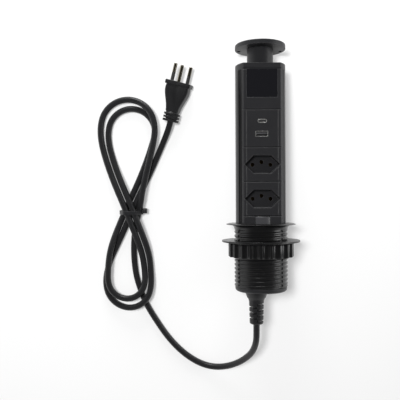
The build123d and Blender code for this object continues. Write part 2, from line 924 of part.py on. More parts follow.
outer_up_lay_shares = (0, 0, 0, 0, 0, 0, 0, 0, 0)

# Round ends of the hank's loops: across and along from the tie, and half the loop's width
top_outer_lobe = (-2.7, 97.0, 30.4)
low_inner_lobe = (-5.8, -78.5, 20.6)
top_inner_lobe = (1.7, 91.0, 26.2)
low_outer_lobe = (-3.9, -84.2, 26.0)
top_outer_lay_shares = (1, 1, 0.6, 0.2, 0, 0, 0)
low_inner_lay_shares = (0.85, 1, 1, 0.8, 0.7, 0.8, 1)
top_inner_lay_shares = (0, 0, 0, 0, 0, 0, 0)
low_outer_lay_shares = (0.75, 1, 1, 0.6, 0.2, 0, 0)


def lobe(place, lay_shares, half_turn):
    """The round end of a loop: corners of a regular outline about a half circle."""
    across_tie, along_tie, half_width = place
    step = half_turn / (len(lay_shares) - 1)
    corner = half_width / math.cos(math.radians(step) / 2)
    turns = [math.radians(step * number) for number in range(len(lay_shares))]
    return [(across_tie + corner * math.cos(turn), along_tie + corner * math.sin(turn)) for turn in turns]


def hank_route():
    """Two loops of a figure of eight, tied at the waist, from the tower's end to the plug's."""
    stretches = [
        (tail_in, tail_in_lay_shares),
        (lobe(top_outer_lobe, top_outer_lay_shares, 180), top_outer_lay_shares),
        (outer_down, outer_down_lay_shares),
        (lobe(low_inner_lobe, low_inner_lay_shares, -180), low_inner_lay_shares),
        (inner_up, inner_up_lay_shares),
        (lobe(top_inner_lobe, top_inner_lay_shares, 180), top_inner_lay_shares),
        (inner_down, inner_down_lay_shares),
        (lobe(low_outer_lobe, low_outer_lay_shares, -180), low_outer_lay_shares),
        (outer_up, outer_up_lay_shares),
    ]
    points = []
    for places, lay_shares in stretches:
        for (u, v), lay in zip(places, lay_shares):
            lift = waist_lift * math.exp(-((v / waist_reach) ** 2))
            points.append(Vector(tie_x + u, tie_y + v, floor + cord_radius + lay * lay_pitch + lift))
    return points


def lay_point(x, y, z):
    """A point of the standing tower, where it lies."""
    return (lay_down * Pos(x, y, z)).position


def plug_place():
    """The plug's place, its pins along Z and its earth pin towards Y, and the cord's end in it."""
    turn, pitch, roll = (math.radians(angle) for angle in (plug_turn, plug_pitch, plug_roll))
    level = Vector(math.cos(turn), -math.sin(turn), 0)
    ahead = Vector(math.sin(turn) * math.cos(pitch), math.cos(turn) * math.cos(pitch), math.sin(pitch))
    up = level.cross(ahead)
    x_dir = level * math.cos(roll) - up * math.sin(roll)
    shoulder = plug_half_width - plug_half_height
    corner_low = plug_half_height * math.cos(roll) + shoulder * math.sin(roll)
    rim_low = max(corner_low, plug_half_width * math.sin(roll))
    height = floor + rim_low * math.cos(pitch) + plug_rim_thick * math.sin(pitch)
    face = Vector(plug_face_x, plug_face_y, height)
    return Location(Plane(origin=face, x_dir=x_dir, z_dir=ahead)), face - ahead * plug_length, ahead


def cord_route():
    """All points of the free cord, the places of its two splits among them, and its bends."""
    plug_exit, ahead = plug_place()[1:]
    lower = [lay_point(cord_x, 0, relief_tip), lay_point(cord_x, 0, relief_tip - relief_straight)]
    lower += [Vector(x, y, floor + cord_radius + lift) for x, y, lift in lower_route]
    middle = hank_route()
    upper = [Vector(x, y, floor + cord_radius + lift) for x, y, lift in upper_route]
    points = lower + middle + upper + [plug_exit - ahead * plug_straight, plug_exit]
    bends = []
    for before, here, after in zip(points, points[1:], points[2:]):
        turn = math.radians((here - before).get_angle(after - here))
        shorter = min((here - before).length, (after - here).length)
        bends.append(bend_share * shorter / math.tan(turn / 2))
    first = len(lower)
    last = len(lower) + len(middle) - 2
    return points, bends, first, last


def tube(points, bends):
    """A round tube along straight runs joined by arcs."""
    line = FilletPolyline(*points, radius=bends)
    begin = Plane(origin=line @ 0, z_dir=line % 0)
    solid = sweep(begin * Circle(cord_radius), path=line)
    return solid, line


def cord_pieces():
    """The cord's two free stretches and its hank, split in the middle of straight runs."""
    points, bends, first, last = cord_route()
    low_split = points[first] + (points[first + 1] - points[first]) * lower_split_share
    high_split = points[last] + (points[last + 1] - points[last]) * upper_split_share
    lower = tube(points[: first + 1] + [low_split], bends[:first])
    hank = tube([low_split] + points[first + 1 : last + 1] + [high_split], bends[first:last])
    upper = tube([high_split] + points[last + 1 :], bends[last:])
    return lower, hank, upper, bends


def thin_tube(points, diameter):
    """A wire along straight runs joined by arcs as large as the runs allow."""
    points = [Vector(*point) for point in points]
    bends = []
    for before, here, after in zip(points, points[1:], points[2:]):
        turn = math.radians((here - before).get_angle(after - here))
        shorter = min((here - before).length, (after - here).length)
        bends.append(bend_share * shorter / math.tan(turn / 2))
    line = FilletPolyline(*points, radius=bends)
    begin = Plane(origin=line @ 0, z_dir=line % 0)
    return sweep(begin * Circle(diameter / 2), path=line)


def inner_wires():
    """The cord's three wires, from the end of its sheath to the bus bars."""
    back = bus_thick / 2 - block_back()
    straight = (tower_low - cord_inner_top) / 4
    wires = []
    for turn, x in ((210, -pin_pitch / 2), (330, pin_pitch / 2), (90, 0)):
        start_x = cord_x + wire_circle * math.cos(math.radians(turn))
        start_y = wire_circle * math.sin(math.radians(turn))
        points = [
            (start_x, start_y, cord_inner_top),
            (start_x, start_y, cord_inner_top + straight),
            (x, back, bus_low - straight),
            (x, back, bus_low),
        ]
        wires.append(thin_tube(points, wire_diameter))
    return wires


def board_leads():
    """Two wires from the tops of the line and neutral bars to the charger board."""
    back = bus_thick / 2 - block_back()
    board_back = -board_front + board_thick
    top = bus_top(0)
    level = board_span()[0] + lead_rise
    rise = (level - top) / 2
    leads = []
    for x in (-pin_pitch / 2, pin_pitch / 2):
        points = [(x, back, top), (x, back, top + rise), (x, back - rise, level), (x, board_back, level)]
        leads.append(thin_tube(points, wire_diameter))
    return leads


# Cable tie
tie_width = 4.6
tie_thick = 1.2
tie_slack = 0.5
tie_side_gap = 1.6       # for strands that cross the band at a slant
tie_head_width = 4.6
tie_head_height = 6.0
tie_head_depth = 5.8
tie_tail = 3.0


def waist_strands():
    """Where each strand of the hank crosses the middle of the tie, as (x, z)."""
    route = hank_route()
    places = []
    for before, after in zip(route, route[1:]):
        if (before.Y < tie_y) != (after.Y < tie_y):
            share = (tie_y - before.Y) / (after.Y - before.Y)
            here = before + (after - before) * share
            places.append((here.X, here.Z))
    return places


def cable_tie():
    """A flat band round the strands of the waist, with its square head on the tower's side."""
    places = sorted(waist_strands(), key=lambda spot: spot[1])
    low, high = places[:3], places[3:]
    corners = [
        (min(low)[0] - tie_side_gap, min(low)[1]),
        (max(low)[0] + tie_side_gap, min(low)[1]),
        (max(high)[0] + tie_side_gap, max(high)[1]),
        (min(high)[0] - tie_side_gap, max(high)[1]),
    ]
    core = make_face(Polyline(*corners, close=True))
    inside = offset(core, cord_radius + tie_slack, kind=Kind.ARC)
    outside = offset(core, cord_radius + tie_slack + tie_thick, kind=Kind.ARC)
    plane = Plane(origin=(0, tie_y, 0), x_dir=(1, 0, 0), z_dir=(0, -1, 0))
    band = extrude(plane * (outside - inside), tie_width / 2, both=True)
    side = corners[1][0] + cord_radius + tie_slack + tie_thick / 2
    middle = corners[1][1] + tie_head_height / 4
    head = Pos(side + tie_head_width / 2, tie_y, middle) * Box(tie_head_width, tie_head_depth, tie_head_height)
    head = chamfer(head.edges().filter_by(Axis.Z), tie_thick / 2)
    tail = Pos(side + tie_head_width / 2, tie_y, middle + tie_head_height / 2 + tie_tail / 2)
    return band + head + tail * Box(tie_thick, tie_width, tie_tail)


def plug_body():
    """The moulded plug: hexagonal rim, waisted grip and ribbed neck."""
    rim = extrude(hexagon(plug_half_width, plug_half_height), -plug_rim_thick)
    rim = chamfer(rim.edges().sort_by(Axis.Z)[-6:], plug_edge / 2)
    sections = []
    grip_long = plug_grip - plug_rim_thick
    for along_share, width_share, height_share in plug_waist_shares:
        z = -plug_grip + grip_long * along_share
        face = hexagon(plug_half_width * width_share, plug_half_height * height_share)
        sections.append(Pos(0, 0, z) * face)
    grip = loft(sections)
    low = -plug_length
    profile = [(0, low), (plug_neck_tip, low), (plug_neck_radius, -plug_grip), (0, -plug_grip)]
    body = rim + grip + revolve(make_face(Plane.XZ * Polyline(*profile, close=True)), Axis.Z)
    for number in range(plug_ribs):
        high = -plug_grip - plug_rib_start - number * plug_rib_pitch
        radius = plug_rib_radius * (1 - number * plug_rib_start / plug_length)
        body += rod(radius, high - plug_rib_height, high)
    for x, y in pin_places_on_plug():
        body -= Pos(x, y) * rod(pin_radius + pin_collar, -pin_root, cut)
    return body


def pin_places_on_plug():
    """The places of the plug's three pins, the earth last."""
    return [(-pin_pitch / 2, 0), (pin_pitch / 2, 0), (0, earth_offset)]


def pin(low):
    """A round pin with a rounded tip, from a height to the tips of the pins."""
    body = rod(pin_radius, low, pin_length)
    return fillet(body.edges().sort_by(Axis.Z)[-1], pin_tip_round)


def plug_pins():
    """The line and neutral pins, thinner where their sleeves are."""
    root = rod(pin_radius - sleeve_wall, -pin_root, sleeve_length)
    return [Pos(x, y) * (pin(sleeve_length) + root) for x, y in pin_places_on_plug()[:2]]


def plug_earth_pin():
    """The bare earth pin and the collar that seats it in the plug."""
    x, y = pin_places_on_plug()[2]
    return Pos(x, y) * (pin(-pin_root) + rod(pin_radius + pin_collar, -pin_root, 0))


def pin_sleeves():
    """The insulating sleeves on the line and neutral pins, flush with their tips, and their collars."""
    sleeve = ring(pin_radius, pin_radius - sleeve_wall, -pin_root, sleeve_length)
    sleeve += ring(pin_radius + pin_collar, pin_radius - sleeve_wall, -pin_root, 0)
    return [Pos(x, y) * sleeve for x, y in pin_places_on_plug()[:2]]


def measure_cord(pieces, bends):
    """Prints each tube's length and volume, the tightest bend and the hank's least gap."""
    section = math.pi * cord_radius**2
    for name, (solid, line) in zip(("cord_lower", "cord_hank", "cord_upper"), pieces):
        share = solid.volume / (section * line.length)
        print(f"{name}: length {line.length:.1f}, volume over section times length {share:.4f}")
    print("cord bend radii:", " ".join(f"{bend:.0f}" for bend in bends))
    line = pieces[1][1]
    step = cord_diameter / 5
    count = int(line.length / step)
    spots = [line.position_at(number / count) for number in range(count + 1)]
    apart = int(4 * cord_diameter / step)
    least = line.length
    for number, spot in enumerate(spots):
        for other in spots[number + apart :]:
            least = min(least, (spot - other).length)
    print(f"least gap between the strands of the hank: {least - cord_diameter:.2f}")


def standing_pieces():
    """Every piece of the tower and the collar, standing."""
    return {
        "collar_tube": collar_tube(),
        "clamp_ring": clamp_ring(),
        "lock_nut": lock_nut(),
        "tower_profile": tower_profile(),
        "foot": foot(),
        "foot_screws": foot_screws(),
        "base_cap": base_cap(),
        "strain_relief": strain_relief(),
        "cord_clamp": cord_clamp(),
        "clamp_screws": clamp_screws(),
        "cord_inner": cord_inner(),
        "inner_wires": inner_wires(),
        "end_cap": end_cap(),
        "cap_screws": cap_screws(),
        "neck": neck(),
        "neck_bolt": neck_bolt(),
        "knob_shell": knob_shell(),
        "knob_underplate": knob_underplate(),
        "blank_tile": blank_tile(),
        "gloss_panel": gloss_panel(),
        "usb_plate": usb_plate(),
        "usb_c_shell": usb_c_shell(),
        "usb_c_tongue": usb_c_tongue(),
        "usb_a_shell": usb_a_shell(),
        "usb_a_tongue": usb_a_tongue(),
        "usb_board": usb_board(),
        "board_screws": board_screws(),
        "charger_parts": charger_parts(),
        "board_leads": board_leads(),
        "socket_plate_upper": socket_plate(lower_top, upper_top),
        "socket_plate_lower": socket_plate(latch_top, lower_top),
        "contact_block_upper": contact_block(lower_top),
        "contact_block_lower": contact_block(latch_top),
        "contacts_upper": contacts(lower_top),
        "contacts_lower": contacts(latch_top),
        "live_bus": bus_bar(-pin_pitch / 2, 0),
        "neutral_bus": bus_bar(pin_pitch / 2, 0),
        "earth_bus": bus_bar(0, earth_offset),
        "latch_panel": latch_panel(),
        "latch_button": latch_button(),
        "latch_spring": latch_spring(),
        "latch_seat": latch_seat(),
    }


def plug_pieces():
    """Every piece of the plug, about its face."""
    return {
        "plug_body": plug_body(),
        "plug_pins": plug_pins(),
        "plug_earth_pin": plug_earth_pin(),
        "pin_sleeves": pin_sleeves(),
    }


def save(name, shapes, where):
    """Writes one node, its shapes placed where they lie."""
    shapes = shapes if isinstance(shapes, list) else [shapes]
    solids = [where * solid for shape in shapes for solid in shape.solids()]
    export_step(solids[0] if len(solids) == 1 else Compound(children=solids), f"parts/{name}.step")


os.makedirs("parts", exist_ok=True)
for name, shapes in standing_pieces().items():
    save(name, shapes, lay_down)
for name, shapes in plug_pieces().items():
    save(name, shapes, plug_place()[0])
lower_cord, hank_cord, upper_cord, cord_bends = cord_pieces()
save("cord_lower", lower_cord[0], Location())
save("cord_hank", hank_cord[0], Location())
save("cord_upper", upper_cord[0], Location())
save("cable_tie", cable_tie(), Location())
measure_cord((lower_cord, hank_cord, upper_cord), cord_bends)
print(f"lean {math.degrees(lean):.4f} degrees, floor {floor:.3f}")
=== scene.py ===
"""Looks of a pop up desk socket: a round tower that lies beside its corded plug, on a white sweep.

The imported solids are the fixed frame. This file gives each of them its finish, and adds the pieces
that want a finer surface: the cord and its tie, the threaded collar, the ribbed nut, the slotted
strain relief, the moulded plug, the screws and the contacts of the outlets.
Lengths are metres. A standing place is (right, back, up the tower), as the tower stands in a desk.
"""

import json
import math

import bmesh
import bpy
import numpy as np
from bpy.props import FloatProperty, FloatVectorProperty, IntProperty, PointerProperty
from mathutils import Matrix, Vector


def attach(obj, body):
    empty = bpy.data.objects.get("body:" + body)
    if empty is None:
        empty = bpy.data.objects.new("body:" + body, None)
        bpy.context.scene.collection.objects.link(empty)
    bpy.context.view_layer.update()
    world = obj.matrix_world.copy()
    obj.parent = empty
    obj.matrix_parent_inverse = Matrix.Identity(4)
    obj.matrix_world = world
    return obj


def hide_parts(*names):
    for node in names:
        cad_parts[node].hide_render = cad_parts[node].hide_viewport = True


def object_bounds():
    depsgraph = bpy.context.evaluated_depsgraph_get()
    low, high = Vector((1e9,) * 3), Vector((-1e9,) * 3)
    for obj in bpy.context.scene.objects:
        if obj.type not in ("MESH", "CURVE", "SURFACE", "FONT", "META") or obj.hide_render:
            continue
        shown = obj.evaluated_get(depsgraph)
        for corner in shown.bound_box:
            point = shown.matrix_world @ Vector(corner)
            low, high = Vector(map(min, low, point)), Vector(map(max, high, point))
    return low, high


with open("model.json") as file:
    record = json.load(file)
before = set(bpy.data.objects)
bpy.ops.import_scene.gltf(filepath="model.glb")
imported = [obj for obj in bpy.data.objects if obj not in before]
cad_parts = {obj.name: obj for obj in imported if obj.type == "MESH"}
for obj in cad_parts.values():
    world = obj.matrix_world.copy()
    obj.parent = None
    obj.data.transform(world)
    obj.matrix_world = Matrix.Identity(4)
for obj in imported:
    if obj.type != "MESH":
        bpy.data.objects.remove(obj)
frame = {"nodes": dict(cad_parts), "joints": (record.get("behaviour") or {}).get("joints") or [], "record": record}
cad_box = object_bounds()

bl_info = {
    "name": "Pop up desk socket",
    "version": (1, 0, 0),
    "blender": (4, 5, 0),
    "location": "View3D > Sidebar > Desk socket",
    "description": "Dresses the solids of a pop up desk socket and adds its cord, collar, nut and plug",
    "category": "Object",
}

MM = 0.001
white = (1.0, 1.0, 1.0, 1.0)

# Corners nearer than this are one, and sines and cosines are rounded to so many digits for a power
tiny = 0.001 * MM
rounded_digits = 9


# The frame's own places and sizes


def joint_axis(name):
    """The direction of a joint, in the world."""
    return np.array(next(j["axis"] for j in frame["joints"] if j["name"] == name))


def mount(name):
    """A mount's place and direction, in the world."""
    found = next(m for m in frame["record"]["mounts"] if m["name"] == name)
    return np.array(found["pos_m"]), np.array(found["axis"])


def unit(vector):
    """The vector at length one."""
    return vector / np.linalg.norm(vector)


tower_up = unit(joint_axis("tower_slide"))
tower_right = np.array([1.0, 0.0, 0.0])
tower_back = np.cross(tower_up, tower_right)
tower_front = -tower_back
standing_axes = np.array([tower_right, tower_back, tower_up])
floor_level = cad_box[0].z


def laid(places):
    """Standing places as world points: the sum of the three standing axes, each times its share."""
    return np.asarray(places, float) @ standing_axes


def corners(name):
    """The corners of a solid's mesh, in the world."""
    mesh = frame["nodes"][name].data
    flat = np.zeros(len(mesh.vertices) * 3, np.float32)
    mesh.vertices.foreach_get("co", flat)
    return flat.reshape(-1, 3).astype(float)


def standing(name):
    """The corners of a solid's mesh as standing places."""
    return corners(name) @ standing_axes.T


def middle(name):
    """The middle of a solid's standing box."""
    places = standing(name)
    return (places.min(axis=0) + places.max(axis=0)) / 2


def heights(name):
    """The lowest and highest standing height of a solid."""
    up = standing(name)[:, 2]
    return up.min(), up.max()


def front_of(name):
    """How far back of the tower's axis the front of a solid lies: a negative number."""
    return standing(name)[:, 1].min()


def radii(name, below=math.inf):
    """The least and greatest distance from the tower's axis, of a solid's corners under a height."""
    places = standing(name)
    reach = np.hypot(places[:, 0], places[:, 1])[places[:, 2] < below]
    return reach.min(), reach.max()


# The cord's route. Its free stretches are places from the tower's axis, with their lift over the
# floor. Its hank's places are counted from the middle of the tie, across and along, with lay shares:
# a strand whose share is 1 lies on one whose share is 0. The hank follows the solid cord, shifted by
# under a millimetre towards the photographed strands.
cord_diameter = 0.0070
cord_round_steps = 6
cord_steps = 10
cord_order = 3
line_steps = 8
cord_straight = 0.0095
tie_x = -0.1442
tie_y = 0.0105
lay_pitch = 0.0076
waist_lift = 0.0018
waist_reach = 0.0240
plug_long = 0.0440
plug_straight = 0.0080

lower_route = [
    (-0.0051, -0.1278, 0.0426),
    (-0.0077, -0.1406, 0.0352),
    (-0.0140, -0.1514, 0.0258),
    (-0.0231, -0.1606, 0.0172),
    (-0.0347, -0.1674, 0.0096),
    (-0.0485, -0.1709, 0.0034),
    (-0.0624, -0.1691, 0.0),
    (-0.0764, -0.1618, 0.0),
    (-0.0909, -0.1502, 0.0),
    (-0.1042, -0.1352, 0.0),
    (-0.1161, -0.1175, 0.0),
]
upper_route = [(-0.1049, 0.0944, 0.0014)]
tail_in = [
    (0.0152, -0.1065), (0.0058, -0.0800), (0.0029, -0.0620), (0.0021, -0.0445), (0.0029, -0.0275),
    (0.0053, -0.0130), (0.0089, 0.0000), (0.0117, 0.0120), (0.0137, 0.0250), (0.0167, 0.0380),
    (0.0203, 0.0525), (0.0240, 0.0675), (0.0272, 0.0820),
]
tail_in_lay_shares = (0, 0, 0, 0, 0, 0, 0.05, 0.9, 1, 1, 1, 1, 1)
outer_down = [
    (-0.0333, 0.0800), (-0.0292, 0.0630), (-0.0233, 0.0455), (-0.0161, 0.0285), (-0.0089, 0.0115),
    (-0.0023, -0.0055), (0.0040, -0.0220), (0.0094, -0.0375), (0.0126, -0.0515), (0.0144, -0.0650),
]
outer_down_lay_shares = (0, 0, 0.35, 0.95, 1, 1, 1, 0.9, 0.3, 0.3)
inner_up = [
    (-0.0268, -0.0660), (-0.0256, -0.0530), (-0.0229, -0.0395), (-0.0183, -0.0250), (-0.0113, -0.0085),
    (-0.0038, 0.0090), (0.0041, 0.0250), (0.0112, 0.0410), (0.0175, 0.0565), (0.0228, 0.0715),
]
inner_up_lay_shares = (1, 1.05, 1, 0.3, 0, 0, 0, 0, 0, 0)
inner_down = [
    (-0.0243, 0.0760), (-0.0204, 0.0610), (-0.0148, 0.0450), (-0.0078, 0.0285), (-0.0006, 0.0115),
    (0.0057, -0.0055), (0.0120, -0.0220), (0.0174, -0.0375), (0.0205, -0.0515), (0.0218, -0.0670),
]
inner_down_lay_shares = (0, 0, 0.4, 0.95, 1, 1, 1, 0.9, 0.3, 0.3)
outer_up = [
    (-0.0296, -0.0695), (-0.0242, -0.0530), (-0.0164, -0.0370), (-0.0084, -0.0200), (-0.0002, -0.0015),
    (0.0080, 0.0165), (0.0166, 0.0335), (0.0246, 0.0505), (0.0346, 0.0730),
]
outer_up_lay_shares = (0, 0, 0, 0, 0, 0, 0, 0, 0)

# Round ends of the hank's loops: across and along from the tie, and half the loop's width
top_outer_lobe = (-0.0027, 0.0970, 0.0304)
low_inner_lobe = (-0.0058, -0.0785, 0.0206)
top_inner_lobe = (0.0017, 0.0910, 0.0262)
low_outer_lobe = (-0.0042, -0.0842, 0.0258)
top_outer_lay_shares = (1, 1, 0.6, 0.2, 0, 0, 0)
low_inner_lay_shares = (0.85, 1, 1, 0.8, 0.7, 0.8, 1)
top_inner_lay_shares = (0, 0, 0, 0, 0, 0, 0)
low_outer_lay_shares = (0.75, 1, 1, 0.6, 0.2, 0, 0)

# The tie: its band, its head with the mouth on top, and the tail through it. A power under 1 makes a
# round section square, the more the smaller it is.
tie_slack = 0.0002
tie_steps = 240
tie_section_steps = 28
tie_band_powers = (0.3, 0.5)
tie_head = (0.0050, 0.0056, 0.0062)
tie_head_power = 0.22
tie_head_steps = 20
tie_head_shift = 0.0018
tie_head_lift = 0.0010
tie_mouth_shares = (0.72, 0.62, 0.25)
tie_mouth_power = 0.25
tie_mouth_steps = 12
tie_tail = 0.0036
tie_tail_share = 0.36
tie_tail_power = 0.3

# The collar: its long slots by their angle from the front, its thread, flange and keyed mouth. The
# tooth rises between two shares of nearness to the middle of its turn. The bore and the crest are
# read from the solid, within a reach of its lower end.
collar_steps = 216
bore_reach = 0.0010
crest_reach = 0.0100
slot_angles = (math.radians(-60), math.radians(43))
slot_ramp_share = 1 / 6
collar_chamfer = 0.0008
thread_runout = 0.0016
rows_per_turn = 12
tooth_shares = (0.28, 0.62)
flange_fillet = 0.0050
flange_fillet_steps = 10
flange_thick = 0.0013
rim_round = 0.00018
rim_high = 0.00045
rim_slope = 0.0024
least_sine = 0.01
mouth_low = -0.0038
mouth_flat = 0.01895
keyway_half = 0.0083
keyway_depth = 0.0213

# The nut: its hollows, and the thin rim on top
nut_phase = math.radians(-5.8)
rib_steps = 28
hollow_radius = 0.0042
hollow_place = 0.0360
hollow_blend = 0.0006
nut_rim = 0.0012
nut_rim_radius = 0.0340
nut_edge = 0.0004
nut_soft_share = 0.6

# The strain relief, from the cap to its tip, and the head that holds it inside the cap
relief_steps = 96
relief_base_rows = 14
relief_end_rows = 4
relief_tip_rows = 8
relief_first_share = 0.2
relief_long = 0.0360
relief_base = 0.0126
relief_body = 0.0080
relief_tip = 0.00735
relief_tip_round = 0.0016
relief_flare = 0.0080
relief_sleeve_start = 0.0127
relief_slot_start = 0.01345
relief_slots = 7
relief_floor = 0.0038
relief_stem = 0.0060
relief_head = 0.0080
relief_head_high = 0.0025
relief_gap = 0.0001
relief_edge = 0.0003
relief_slot_end = math.radians(1.5)

# The plug. A row of the waist's shares is a place from the neck, 0, to the rim, 1, and its shares of
# the half width and half height. The dished face and the soft edges are shares of the same kind.
plug_steps = 192
grip_rows = 26
plug_half_width = 0.01775
plug_half_height = 0.0085
plug_waist_shares = [
    (1.0, 0.89, 0.90), (0.74, 0.90, 0.93), (0.48, 0.77, 0.89), (0.25, 0.62, 0.84), (0.0, 0.54, 0.80),
]
waist_degree = 3
plug_dish = 0.00015
plug_dish_shares = (0.90, 0.925, 0.95)
plug_edge = 0.0008
plug_soft_share = 0.3
plug_edge_shares = (0.98, 0.99, 0.965)
grip_end_share = 0.93
grip_end_edge_share = 0.5
grip_end_round_share = 0.2
rim_squareness = 26.0
grip_squareness = 13.0
oval_squareness = 2.0
plug_neck = 0.0078
plug_neck_tip = 0.0058
plug_ribs = 3
plug_rib_wide = 0.0096
plug_rib_high = 0.0072
plug_rib_start = 0.0021
plug_rib_pitch = 0.0035
plug_rib_thick = 0.0024
plug_rib_soft_share = 0.4

# The outlets' rolled lips: shell, corner radius and half thickness
outlet_lips = [("usb_c_shell", 0.0019, 0.00036), ("usb_a_shell", 0.0006, 0.00022)]
lip_proud = 0.0001
lip_corner_steps = 9
lip_section_steps = 12

# The cap's screws. All shares are of the head's radius, and the cross's sides fall between two.
screw_head = 0.0022
screw_shank = 0.0015
screw_steps = 64
screw_face_rows = 22
screw_face_share = 0.97
screw_rim_share = 0.99
screw_rim_drop_share = 0.10
cross_side_shares = (0.12, 0.20)
cross_end_shares = (0.50, 0.68)
cross_depth_share = 0.40
crown_share = 0.03
crown_power = 4

# The outlets' contacts: tongue, how many, pitch, width, length, and on which faces
contact_thick = 0.0002
contact_back = 0.0006
contact_power = 0.3
contact_steps = 8
outlet_contacts = [
    ("usb_a_tongue", 4, 0.0024, 0.0011, 0.0050, (-1,)),
    ("usb_c_tongue", 12, 0.0005, 0.00026, 0.0022, (-1, 1)),
]

# Pale edges, partly wear and partly a painted highlight of light on the edges: how far the bevelled
# normal leans before an edge starts to pale and before it is fully pale, and how many patches there
# are to a metre, in it and in the slow drift of roughness and colour
bevel_samples = 6
lean_at_first = 0.01
lean_when_full = 0.2
edge_mark_patches = 160.0
drift_patches = 55.0
usual_drift = 0.2

# The stage. The floor adds the lift to its lit colour where it is seen. The world gives the object a
# plain light, and gloss mirrors it as a dome, white at the horizon and nearly black overhead; the
# two limits are heights of the mirrored way. Lights: name, place, size, power, and shown in gloss.
floor_half = 6.0
floor_roughness = 0.9
floor_specular = 0.1
floor_lift = 0.32
world_light = 0.26
zenith_gloss = 0.05
gloss_horizon = 0.12
gloss_zenith = 0.60
light_aim = (-0.05, 0.0, 0.0)
lights = [
    ("key", (-0.32, 0.24, 1.10), 0.24, 14.4, False),
    ("side", (0.90, 0.15, 0.30), 0.5, 2.6, True),
    ("window", (-0.15, 0.90, 0.24), 0.4, 4.5, True),
]


# The cord's route, and the plug's place


def lobe(place, lay_shares, half_turn):
    """The round end of a loop: corners of a regular outline about a half circle."""
    across_tie, along_tie, half_width = place
    step = half_turn / (len(lay_shares) - 1)
    corner = half_width / math.cos(math.radians(step) / 2)
    turns = [math.radians(step * number) for number in range(len(lay_shares))]
    return [(across_tie + corner * math.cos(turn), along_tie + corner * math.sin(turn)) for turn in turns]


def hank_route():
    """Two loops of a figure of eight, tied at the waist, from the tower's end to the plug's."""
    stretches = [
        (tail_in, tail_in_lay_shares),
        (lobe(top_outer_lobe, top_outer_lay_shares, 180), top_outer_lay_shares),
        (outer_down, outer_down_lay_shares),
        (lobe(low_inner_lobe, low_inner_lay_shares, -180), low_inner_lay_shares),
        (inner_up, inner_up_lay_shares),
        (lobe(top_inner_lobe, top_inner_lay_shares, 180), top_inner_lay_shares),
        (inner_down, inner_down_lay_shares),
        (lobe(low_outer_lobe, low_outer_lay_shares, -180), low_outer_lay_shares),
        (outer_up, outer_up_lay_shares),
    ]
    points = []
    for places, lay_shares in stretches:
        for (u, v), lay in zip(places, lay_shares):
            lift = waist_lift * math.exp(-((v / waist_reach) ** 2))
            points.append((tie_x + u, tie_y + v, floor_level + cord_diameter / 2 + lay * lay_pitch + lift))
    return points


def on_floor(route):
    """Points of a route, lifted by the cord's radius and their own lift."""
    return [(x, y, floor_level + cord_diameter / 2 + lift) for x, y, lift in route]


def plug_frame():
    """The middle of the plug's face, and its axes: across its line pins, up from them, and ahead."""
    left, ahead = mount("plug_left_pin")
    right = mount("plug_right_pin")[0]
    across = unit(right - left)
    face = left + (right - left) / 2
    face = face + ahead * ((corners("plug_body") @ ahead).max() - face @ ahead)
    return face, np.array([across, np.cross(across, ahead), ahead])


def cord_route():
    """All points of the free cord, from the strain relief's tip to the end of the plug's neck."""
    tip, _ = heights("strain_relief")
    cord_x = middle("strain_relief")[0]
    face, axes = plug_frame()
    plug_exit = face - axes[2] * plug_long
    start = [tuple(laid((cord_x, 0.0, tip))), tuple(laid((cord_x, 0.0, tip - cord_straight)))]
    end = [tuple(plug_exit - axes[2] * plug_straight), tuple(plug_exit)]
    return start + on_floor(lower_route) + hank_route() + on_floor(upper_route) + end


# Surfaces


def signed_volume(points, faces):
    """Six times the volume inside a closed mesh: the sum of triple products of its triangles."""
    cells = points[faces]
    first = np.einsum("ij,ij->i", cells[:, 0], np.cross(cells[:, 1], cells[:, 2]))
    second = np.einsum("ij,ij->i", cells[:, 0], np.cross(cells[:, 2], cells[:, 3]))
    return (first + second).sum()


def grid_faces(rows, columns, wrap_rows, wrap_columns):
    """The four corners of every cell of a grid, as numbers counted along its rows."""
    row = np.arange(rows if wrap_rows else rows - 1)
    column = np.arange(columns if wrap_columns else columns - 1)
    row, column = np.meshgrid(row, column, indexing="ij")
    next_row = (row + 1) % rows
    next_column = (column + 1) % columns
    cells = [row * columns + column, row * columns + next_column]
    cells += [next_row * columns + next_column, next_row * columns + column]
    return np.stack(cells, axis=-1).reshape(-1, 4)


def sheet_of(points, wrap_rows=False, wrap_columns=False):
    """Corners and faces of one closed or open grid of points, its faces turned outwards."""
    rows, columns = points.shape[:2]
    faces = grid_faces(rows, columns, wrap_rows, wrap_columns)
    flat = points.reshape(-1, 3)
    if signed_volume(flat - flat.mean(axis=0), faces) < 0:
        faces = faces[:, ::-1]
    return flat, faces


def joined(parts):
    """Several meshes as one, the face numbers of each moved past the corners before it."""
    points, faces, count = [], [], 0
    for part_points, part_faces in parts:
        points.append(part_points)
        faces.append(part_faces + count)
        count += len(part_points)
    return np.concatenate(points), np.concatenate(faces)


def make_piece(name, parts, body, slot, replaces=(), sharp_degrees=40):
    """A mesh piece from its grids: poles and seams merged, smooth but for its sharp edges."""
    points, faces = joined(parts)
    mesh = bpy.data.meshes.new(name)
    mesh.from_pydata(points.tolist(), [], faces.tolist())
    mesh.validate()
    piece = bpy.data.objects.new(name, mesh)
    bpy.context.scene.collection.objects.link(piece)
    work = bmesh.new()
    work.from_mesh(mesh)
    bmesh.ops.remove_doubles(work, verts=work.verts, dist=tiny)
    bmesh.ops.dissolve_degenerate(work, edges=work.edges, dist=tiny)
    work.to_mesh(mesh)
    work.free()
    mesh.shade_smooth()
    mesh.set_sharp_from_angle(angle=math.radians(sharp_degrees))
    mesh.materials.append(finish_for(slot))
    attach(piece, body)
    if replaces:
        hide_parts(*replaces)


def smooth_step(value, low, high):
    """0 under the low value and 1 over the high one, with three t squared less two t cubed between."""
    t = np.clip((value - low) / (high - low), 0, 1)
    return t * t * (3 - 2 * t)


